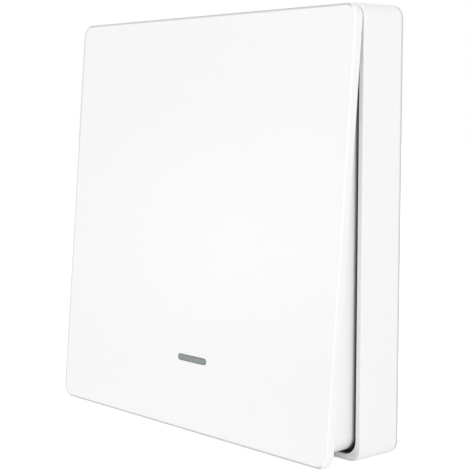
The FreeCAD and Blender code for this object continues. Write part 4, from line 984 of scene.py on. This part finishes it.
@dataclass(frozen=True)
class ReturnSprings:
    """Two compression springs with closed and ground ends.

    The wire and the radius are those of the wire and of the coil to the wire's middle. The closed
    turns at each end have a pitch of their own, and the ground foot lies the seat's share of the
    wire's radius below its middle. The share of its length that the spring keeps at the key's stop
    is not used.
    """

    node: str = "return_springs"
    wire: float = 0.00022
    radius: float = 0.00225
    turns: float = 4.5
    closed: float = 1.0
    closed_pitch: float = 0.00046
    seat: float = 0.6
    ring: int = 12
    steps_per_turn: int = 40
    keep: float = 0.52

    def rise(self, turn: float, length: float) -> float:
        """Height of the wire's middle above the spring's foot.

        Args:
            turn: how many turns from the foot.
            length: the spring's length.

        Returns:
            The height in metres.
        """
        foot = self.wire * self.seat
        free_turns = self.turns - 2 * self.closed
        free_pitch = (length - 2 * foot - 2 * self.closed * self.closed_pitch) / free_turns
        past = turn - self.closed
        closed = min(turn, self.closed) + max(past - free_turns, 0.0)
        return foot + closed * self.closed_pitch + min(max(past, 0.0), free_turns) * free_pitch

    def coil(self, length: float) -> Piece:
        """One spring about +Z from the origin.

        Args:
            length: its length at rest.

        Returns:
            The spring.
        """
        spring = Bench.circle(self.radius, self.wire, self.ring)
        Bench.wind(spring, self.turns, 0.0, self.steps_per_turn)
        for number, point in enumerate(spring.data.vertices):
            turn = (number // self.ring) / self.steps_per_turn
            height = point.co.z + self.rise(turn, length)
            point.co.z = min(max(height, 0.0), length)
        Bench.cap_ends()
        return spring

    def build(self, finish: Material) -> None:
        """Build and settle both springs.

        Args:
            finish: the spring wire's material.
        """
        low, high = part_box(self.node)
        outer = self.radius + self.wire
        height = (low.z + high.z) / 2
        for name, across in (
            ("return_spring_left", low.x + outer), ("return_spring_right", high.x - outer)
        ):
            spring = self.coil(high.y - low.y)
            spring.name = name
            spring.rotation_euler = UPRIGHT
            spring.location = (across, high.y, height)
            Bench.keep_place()
            Bench.face_outwards(spring, smooth=60.0)
            spring.data.materials.append(finish)
            Bench.settle(spring, Slot.SPRING, self.node)
            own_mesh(spring)


@dataclass(frozen=True)
class RecessScrews:
    """Small cross-recess screws with a rolled thread, as far across on both sides at two heights.

    The head, the core and the thread are radii, and the crown is the rounding of the head's front
    edge. The recess has two slots as long as the span and as wide as the wing. The ridge is half
    the height of the thread's foot, in pitches. Each screw is turned further than the one before.
    """

    node: str
    across: float
    heights: tuple[float, float]
    head: float
    core: float
    thread: float
    countersunk: bool
    head_height: float = 0.0012
    recess: float = 0.0007
    recess_taper: float = 0.72
    span: float = 0.0021
    wing: float = 0.00035
    crown: float = 0.00012
    pitch: float = 0.0005
    ridge: float = 0.46
    crown_taper: float = 0.8
    turn: float = 23.0
    sides: int = 32

    def head_form(self, front: float) -> Piece:
        """The head, coned or flat-footed, with its recess cut in.

        Args:
            front: level of its front.

        Returns:
            The head, in front of the origin.
        """
        head = Bench.drum(self.head, front - self.head_height, front, self.sides)
        if self.countersunk:
            Bench.faces(lambda middle, normal: normal.y > FACING)
            Bench.narrow(self.core / self.head, self.core / self.head)
        Bench.faces(lambda middle, normal: normal.y < -FACING)
        Bench.bevel(self.crown, segments=3)
        for across, upright in ((self.span, self.wing), (self.wing, self.span)):
            cutter = Bench.cube(
                (-across / 2, -front - self.crown, -upright / 2),
                (across / 2, -front + self.recess, upright / 2),
            )
            Bench.faces(lambda middle, normal: normal.y > FACING)
            Bench.narrow(self.recess_taper, self.recess_taper)
            cut = head.modifiers.new("recess", "BOOLEAN")
            cut.operation = "DIFFERENCE"
            cut.solver = "EXACT"
            cut.object = cutter
            Bench.apply(head)
            bpy.data.objects.remove(cutter)
        return head

    def shank_form(self, foot: float, tip: float) -> Piece:
        """The threaded shank, with the ridge wound round its core.

        Args:
            foot: level of the head's foot.
            tip: level of the shank's tip.

        Returns:
            The shank, in front of the origin.
        """
        turns = max(1, round((foot - tip) / self.pitch)) - 1
        reach = self.ridge * self.pitch
        ridge = Bench.circle(self.core, reach, sides=4)
        Bench.points(lambda place: place.x > self.core + reach / 2)
        Bench.shift(self.thread - self.core - reach)
        Bench.points(lambda place: place.x < self.core - reach / 2)
        Bench.shift(reach - self.core / 3)
        Bench.wind(ridge, turns, self.pitch * turns, self.sides)
        Bench.cap_ends()
        ridge.rotation_euler = UPRIGHT
        ridge.location = (0.0, -tip - self.pitch / 2, 0.0)
        Bench.keep_place()
        shank = Bench.drum(self.core, tip, foot + self.crown, self.sides)
        Bench.faces(lambda middle, normal: normal.y > FACING)
        Bench.narrow(self.crown_taper, self.crown_taper)
        return Bench.join("shank", shank, ridge)

    def build(self, finish: Material) -> None:
        """Build one screw, copy it to each place and settle the copies.

        Args:
            finish: the screws' material.
        """
        low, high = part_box(self.node)
        front, tip = -low.y, -high.y
        foot = front - self.head_height
        screw = Bench.join("screw", self.head_form(front), self.shank_form(foot, tip))
        Bench.face_outwards(screw, smooth=30.0)
        screw.data.materials.append(finish)
        places = [(side * self.across, height) for height in self.heights for side in (-1, 1)]
        for number, (across, height) in enumerate(places, start=1):
            copy = screw.copy()
            copy.data = screw.data.copy()
            copy.name = f"{self.node.removesuffix('s')}_{number}"
            bpy.context.scene.collection.objects.link(copy)
            Bench.choose(copy)
            copy.location = (across, 0.0, height)
            copy.rotation_euler = (0.0, math.radians(self.turn * number), 0.0)
            Bench.keep_place()
            Bench.settle(copy, Slot.PLATED, self.node)
        bpy.data.objects.remove(screw)


@dataclass(frozen=True)
class CoinCell:
    """The lithium coin cell: a can with a rolled rim, a dark gasket and a narrower cap at the back.

    The backs and the fronts are levels above the cap's back, and the insets are steps inwards: the
    gasket's from the can's outside, and the cap's from the gasket's outside.
    """

    node: str = "coin_cell"
    can_back: float = 0.00035
    can_round: float = 0.000225
    rim_width: float = 0.0009
    step_width: float = 0.00045
    step_depth: float = 0.00011
    inner_front: float = 0.00105
    gasket_back: float = 0.000245
    gasket_inset: float = 0.000675
    gasket_round: float = 0.0001
    cap_inset: float = 0.0006
    cap_round: float = 0.0003
    sides: int = 96

    def can_form(self, radius: float, depth: float) -> Piece:
        """The can, rounded at both ends, with a shallow step inside its rim.

        Args:
            radius: its radius.
            depth: level of its front above the cap's back.

        Returns:
            The can, in front of the origin.
        """
        can = Bench.drum(radius, self.can_back, depth, self.sides)
        Bench.faces(lambda place, normal: abs(normal.y) > FACING)
        Bench.bevel(self.can_round, segments=4)
        Bench.faces(lambda place, normal: normal.y < -SQUARE)
        bpy.ops.mesh.inset(thickness=self.rim_width)
        bpy.ops.mesh.inset(thickness=self.step_width, depth=-self.step_depth)
        Bench.close()
        return can

    def disc_form(self, radius: float, back: float, rounding: float, segments: int) -> Piece:
        """A disc that stands out of the can's back, rounded along its back edge.

        Args:
            radius: its radius.
            back: level of its back above the cap's.
            rounding: radius of its back edge.
            segments: how many segments that edge has.

        Returns:
            The disc, in front of the origin.
        """
        disc = Bench.drum(radius, back, self.inner_front, self.sides)
        Bench.faces(lambda place, normal: normal.y > SQUARE)
        Bench.bevel(rounding, segments)
        return disc

    def build(self, metal: Material, seal: Material) -> None:
        """Build and settle the cell.

        Args:
            metal: material of the can and the cap.
            seal: material of the gasket.
        """
        low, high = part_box(self.node)
        can_radius = (high.x - low.x) / 2
        radius = can_radius - self.gasket_inset
        can = self.can_form(can_radius, high.y - low.y)
        gasket = self.disc_form(radius, self.gasket_back, self.gasket_round, segments=2)
        cap = self.disc_form(radius - self.cap_inset, 0.0, self.cap_round, segments=4)
        for form, material in ((can, metal), (gasket, seal), (cap, metal)):
            form.data.materials.append(material)
        cell = Bench.join("coin_cell_can", can, gasket, cap)
        cell.location = ((low.x + high.x) / 2, high.y, (low.z + high.z) / 2)
        Bench.keep_place()
        Bench.face_outwards(cell, smooth=30.0)
        Bench.settle(cell, Slot.CELL, self.node)


@dataclass(frozen=True)
class Lamp:
    """A square soft lamp turned to the middle of the part.

    The direction is from the part to the lamp, and the level is the brightness that the lamp alone
    gives a white face turned to it.
    """

    name: str
    direction: Triple
    level: float
    distance: float = 0.90
    size: float = 0.80

    def build(self) -> None:
        """Hang the lamp, with the watts that its level needs at its distance."""
        lamp = bpy.data.lights.new(self.name, "AREA")
        lamp.size = self.size
        lamp.energy = self.level * math.pi**2 * self.distance**2
        holder = bpy.data.objects.new(self.name, lamp)
        bpy.context.scene.collection.objects.link(holder)
        toward = Vector(self.direction).normalized()
        holder.location = toward * self.distance
        holder.rotation_euler = toward.to_track_quat("Z", "Y").to_euler()
        holder.visible_camera = False


@dataclass(frozen=True)
class Stage:
    """The floor, the lamps, the white surround and the camera.

    The third lamp is weak and small: its reflection gives the key plate a faint glow.
    """

    surround: float = 0.62
    floor_colour: Colour = (0.93, 0.93, 0.93)
    floor_lift: float = 0.6
    floor_half: float = 2.0
    floor_height: float = -0.043
    lamps: tuple[Lamp, ...] = (
        Lamp("lamp_right", (0.95, -0.30, 0.10), level=0.535),
        Lamp("lamp_left", (-0.30, -0.80, 0.45), level=0.223),
        Lamp("lamp_glow", (-0.635, -0.630, 0.017), level=0.030, size=0.11),
    )
    camera_place: Triple = (0.20087, -0.18133, 0.02248)
    yaw: float = 48.601
    pitch: float = 5.478
    roll: float = -0.070
    focal_pixels: float = 1255.6
    frame_pixels: float = 470.0
    sensor: float = 36.0
    nearest: float = 0.01
    farthest: float = 20.0

    def seen(self, tree: Nodes) -> Socket:
        """Tell the rays that show the background from those that light the object.

        Args:
            tree: the node tree to add to.

        Returns:
            A socket that is 1 for rays from the camera, a reflection or a clear piece.
        """
        path = tree.node("LightPath").outputs
        total = path["Is Camera Ray"]
        for name in ("Is Glossy Ray", "Is Transmission Ray"):
            total = tree.math("MAXIMUM", total, path[name])
        return total

    def build_surround(self) -> None:
        """A plain white world that lights the object at its own level."""
        world = bpy.data.worlds.new("surround")
        world.use_nodes = True
        bpy.context.scene.world = world
        tree = Nodes(world.node_tree)
        level = tree.span(self.seen(tree), 0.0, 1.0, self.surround, 1.0)
        tree.fill(tree.nodes["Background"], Color=(1.0, 1.0, 1.0), Strength=level)

    def build_floor(self) -> None:
        """A plain pale floor under the part, which keeps its shadow."""
        bpy.ops.mesh.primitive_plane_add(
            size=2 * self.floor_half, location=(0.0, 0.0, self.floor_height)
        )
        floor = Bench.keep_place()
        floor.name = "floor"
        tree = Tree("pale_floor")
        tree.set(Base_Color=self.floor_colour, Roughness=0.9, Specular_IOR_Level=0.1)
        strength = tree.math("MULTIPLY", self.seen(tree), self.floor_lift)
        glow = tree.node("Emission", Strength=strength)
        total = tree.node("AddShader")
        tree.put(total.inputs[0], tree.surface.outputs["BSDF"])
        tree.put(total.inputs[1], glow.outputs["Emission"])
        tree.fill(tree.output, Surface=total.outputs["Shader"])
        floor.data.materials.append(tree.material)

    def build_camera(self) -> None:
        """The camera that looks at the part as the photo does."""
        lens = bpy.data.cameras.new("camera")
        lens.sensor_width = self.sensor
        lens.lens = self.focal_pixels / self.frame_pixels * self.sensor
        lens.clip_start = self.nearest
        lens.clip_end = self.farthest
        camera = bpy.data.objects.new("camera", lens)
        bpy.context.scene.collection.objects.link(camera)
        camera.matrix_world = (
            Matrix.Translation(self.camera_place)
            @ Matrix.Rotation(math.radians(self.yaw), 4, "Z")
            @ Matrix.Rotation(math.radians(90.0 - self.pitch), 4, "X")
            @ Matrix.Rotation(math.radians(-self.roll), 4, "Z")
        )
        bpy.context.scene.camera = camera

    def build(self) -> None:
        """Build the whole stage."""
        self.build_surround()
        self.build_floor()
        for lamp in self.lamps:
            lamp.build()
        self.build_camera()
        bpy.context.scene.view_settings.view_transform = "Standard"


SHELL_WHITE: Colour = (0.93, 0.93, 0.925)
FINISHES: dict[Slot, Finish] = {
    Slot.SHELL: MouldedPlastic(SHELL_WHITE),
    Slot.INNER: MouldedPlastic((0.90, 0.90, 0.89)),
    Slot.FOAM: FoamTape(),
    Slot.PLATED: Metal((0.58, 0.58, 0.60)),
    Slot.RADIO: MouldedPlastic((0.04, 0.10, 0.30)),
    Slot.CELL: Metal((0.60, 0.60, 0.61), stretch=ROLLED),
    Slot.CONTACT: Metal((0.66, 0.56, 0.36), stretch=ROLLED),
    Slot.BLACK: MouldedPlastic((0.05, 0.05, 0.055)),
    Slot.TIN: Metal((0.66, 0.66, 0.65)),
    Slot.SPRING: Metal((0.50, 0.50, 0.52)),
    Slot.ANTENNA: Metal((0.80, 0.48, 0.30)),
    Slot.PLUNGER: MouldedPlastic((0.62, 0.10, 0.08)),
    Slot.SILICONE: MouldedPlastic((0.82, 0.83, 0.83)),
}

# The key plate's front face and the window in it, which lean back together.
KEY_EDGE = Outline(
    across=0.0, rise=-0.00132, half_across=0.0403, half_upright=0.04029, radius=0.0027
)
KEY_FRONT = 0.01633
WINDOW_EDGE = Outline(
    across=0.0029, rise=-0.02931, half_across=0.003875, half_upright=0.0, radius=0.000625
)
LED_BODY = Look((0.90, 0.90, 0.88))
LED_LENS = Look((0.86, 0.80, 0.52))
NODE_FINISHES: dict[str, Finish] = {
    # Painted shade on the housing: a dark band in the gap round the skirt, and a grey line along
    # its edge at the wall.
    "housing": MouldedPlastic(
        SHELL_WHITE, shades=(PaintedGapShade(reach_low=0.0405, reach_high=0.04184), PaintedBackEdgeShade())
    ),
    # Painted shade: a dark band on the skirt's walls in the gap.
    "rocker_frame": MouldedPlastic(
        SHELL_WHITE, shades=(PaintedGapShade(reach_low=0.0398, reach_high=0.0415),)
    ),
    # Painted shade on the key plate: a grey line along its front edge, fading out before the right
    # side, and a wider, fainter one along the left.
    "key_plate": MouldedPlastic(
        (0.94, 0.94, 0.935),
        roughness=0.32,
        shades=(
            PaintedEdgeShade(KEY_EDGE, KEY_FRONT, fade_out=0.0420),
            PaintedEdgeShade(KEY_EDGE, KEY_FRONT, fade_out=-0.0410, width=0.0010, tone=0.75),
        ),
    ),
    # Painted shade along the window's border.
    "light_guide": SmokedWindow(WINDOW_EDGE),
    "circuit_board": SolderMask(),
    "controller_chip": TwoLooks(Slab(Axis.HEIGHT, -0.01697, -0.01303)),
    "chip_resistors": TwoLooks(Slab(Axis.HEIGHT, -0.0245, -0.0235)),
    "switch_base": TwoLooks(Slab(Axis.ACROSS, -0.00302, 0.00302)),
    "smoothing_capacitor": TwoLooks(Slab(Axis.LEVEL, 0.0052, 0.0058)),
    "indicator_led": TwoLooks(Slab(Axis.LEVEL, 0.0052, 0.0064), LED_BODY, LED_LENS),
}

SCREWS = (
    RecessScrews(
        "cover_screws", across=0.0335, heights=(-0.03389, 0.02989),
        head=0.0020, core=0.00085, thread=0.0010, countersunk=True,
    ),
    RecessScrews(
        "board_screws", across=0.0265, heights=(-0.02749, 0.02349),
        head=0.0018, core=0.00075, thread=0.0009, countersunk=False,
    ),
)


def dress_nodes(materials: dict[Slot, Material]) -> None:
    """Give every CAD node its own finish, or else its slot's.

    Args:
        materials: the material of each slot that has a finish.
    """
    for row in frame["record"]["subparts"]:
        name = row["node"]
        own = NODE_FINISHES.get(name)
        surface = own.build(name) if own else materials[Slot(row["material_slot"])]
        node = frame["nodes"][name]
        node.data.materials.clear()
        node.data.materials.append(surface)
        log.info("dressed %s", name)


def main() -> None:
    """Build the stage, dress every node and add the modelled pieces."""
    logging.basicConfig(level=logging.INFO, format="%(message)s")
    Bench.choose()
    Stage().build()
    materials = {slot: finish.build(slot.value) for slot, finish in FINISHES.items()}
    dress_nodes(materials)
    TapePads().build(materials[Slot.FOAM])
    ReturnSprings().build(materials[Slot.SPRING])
    for screws in SCREWS:
        screws.build(materials[Slot.PLATED])
    CoinCell().build(materials[Slot.CELL], materials[Slot.BLACK])


if __name__ == "__main__":
    main()
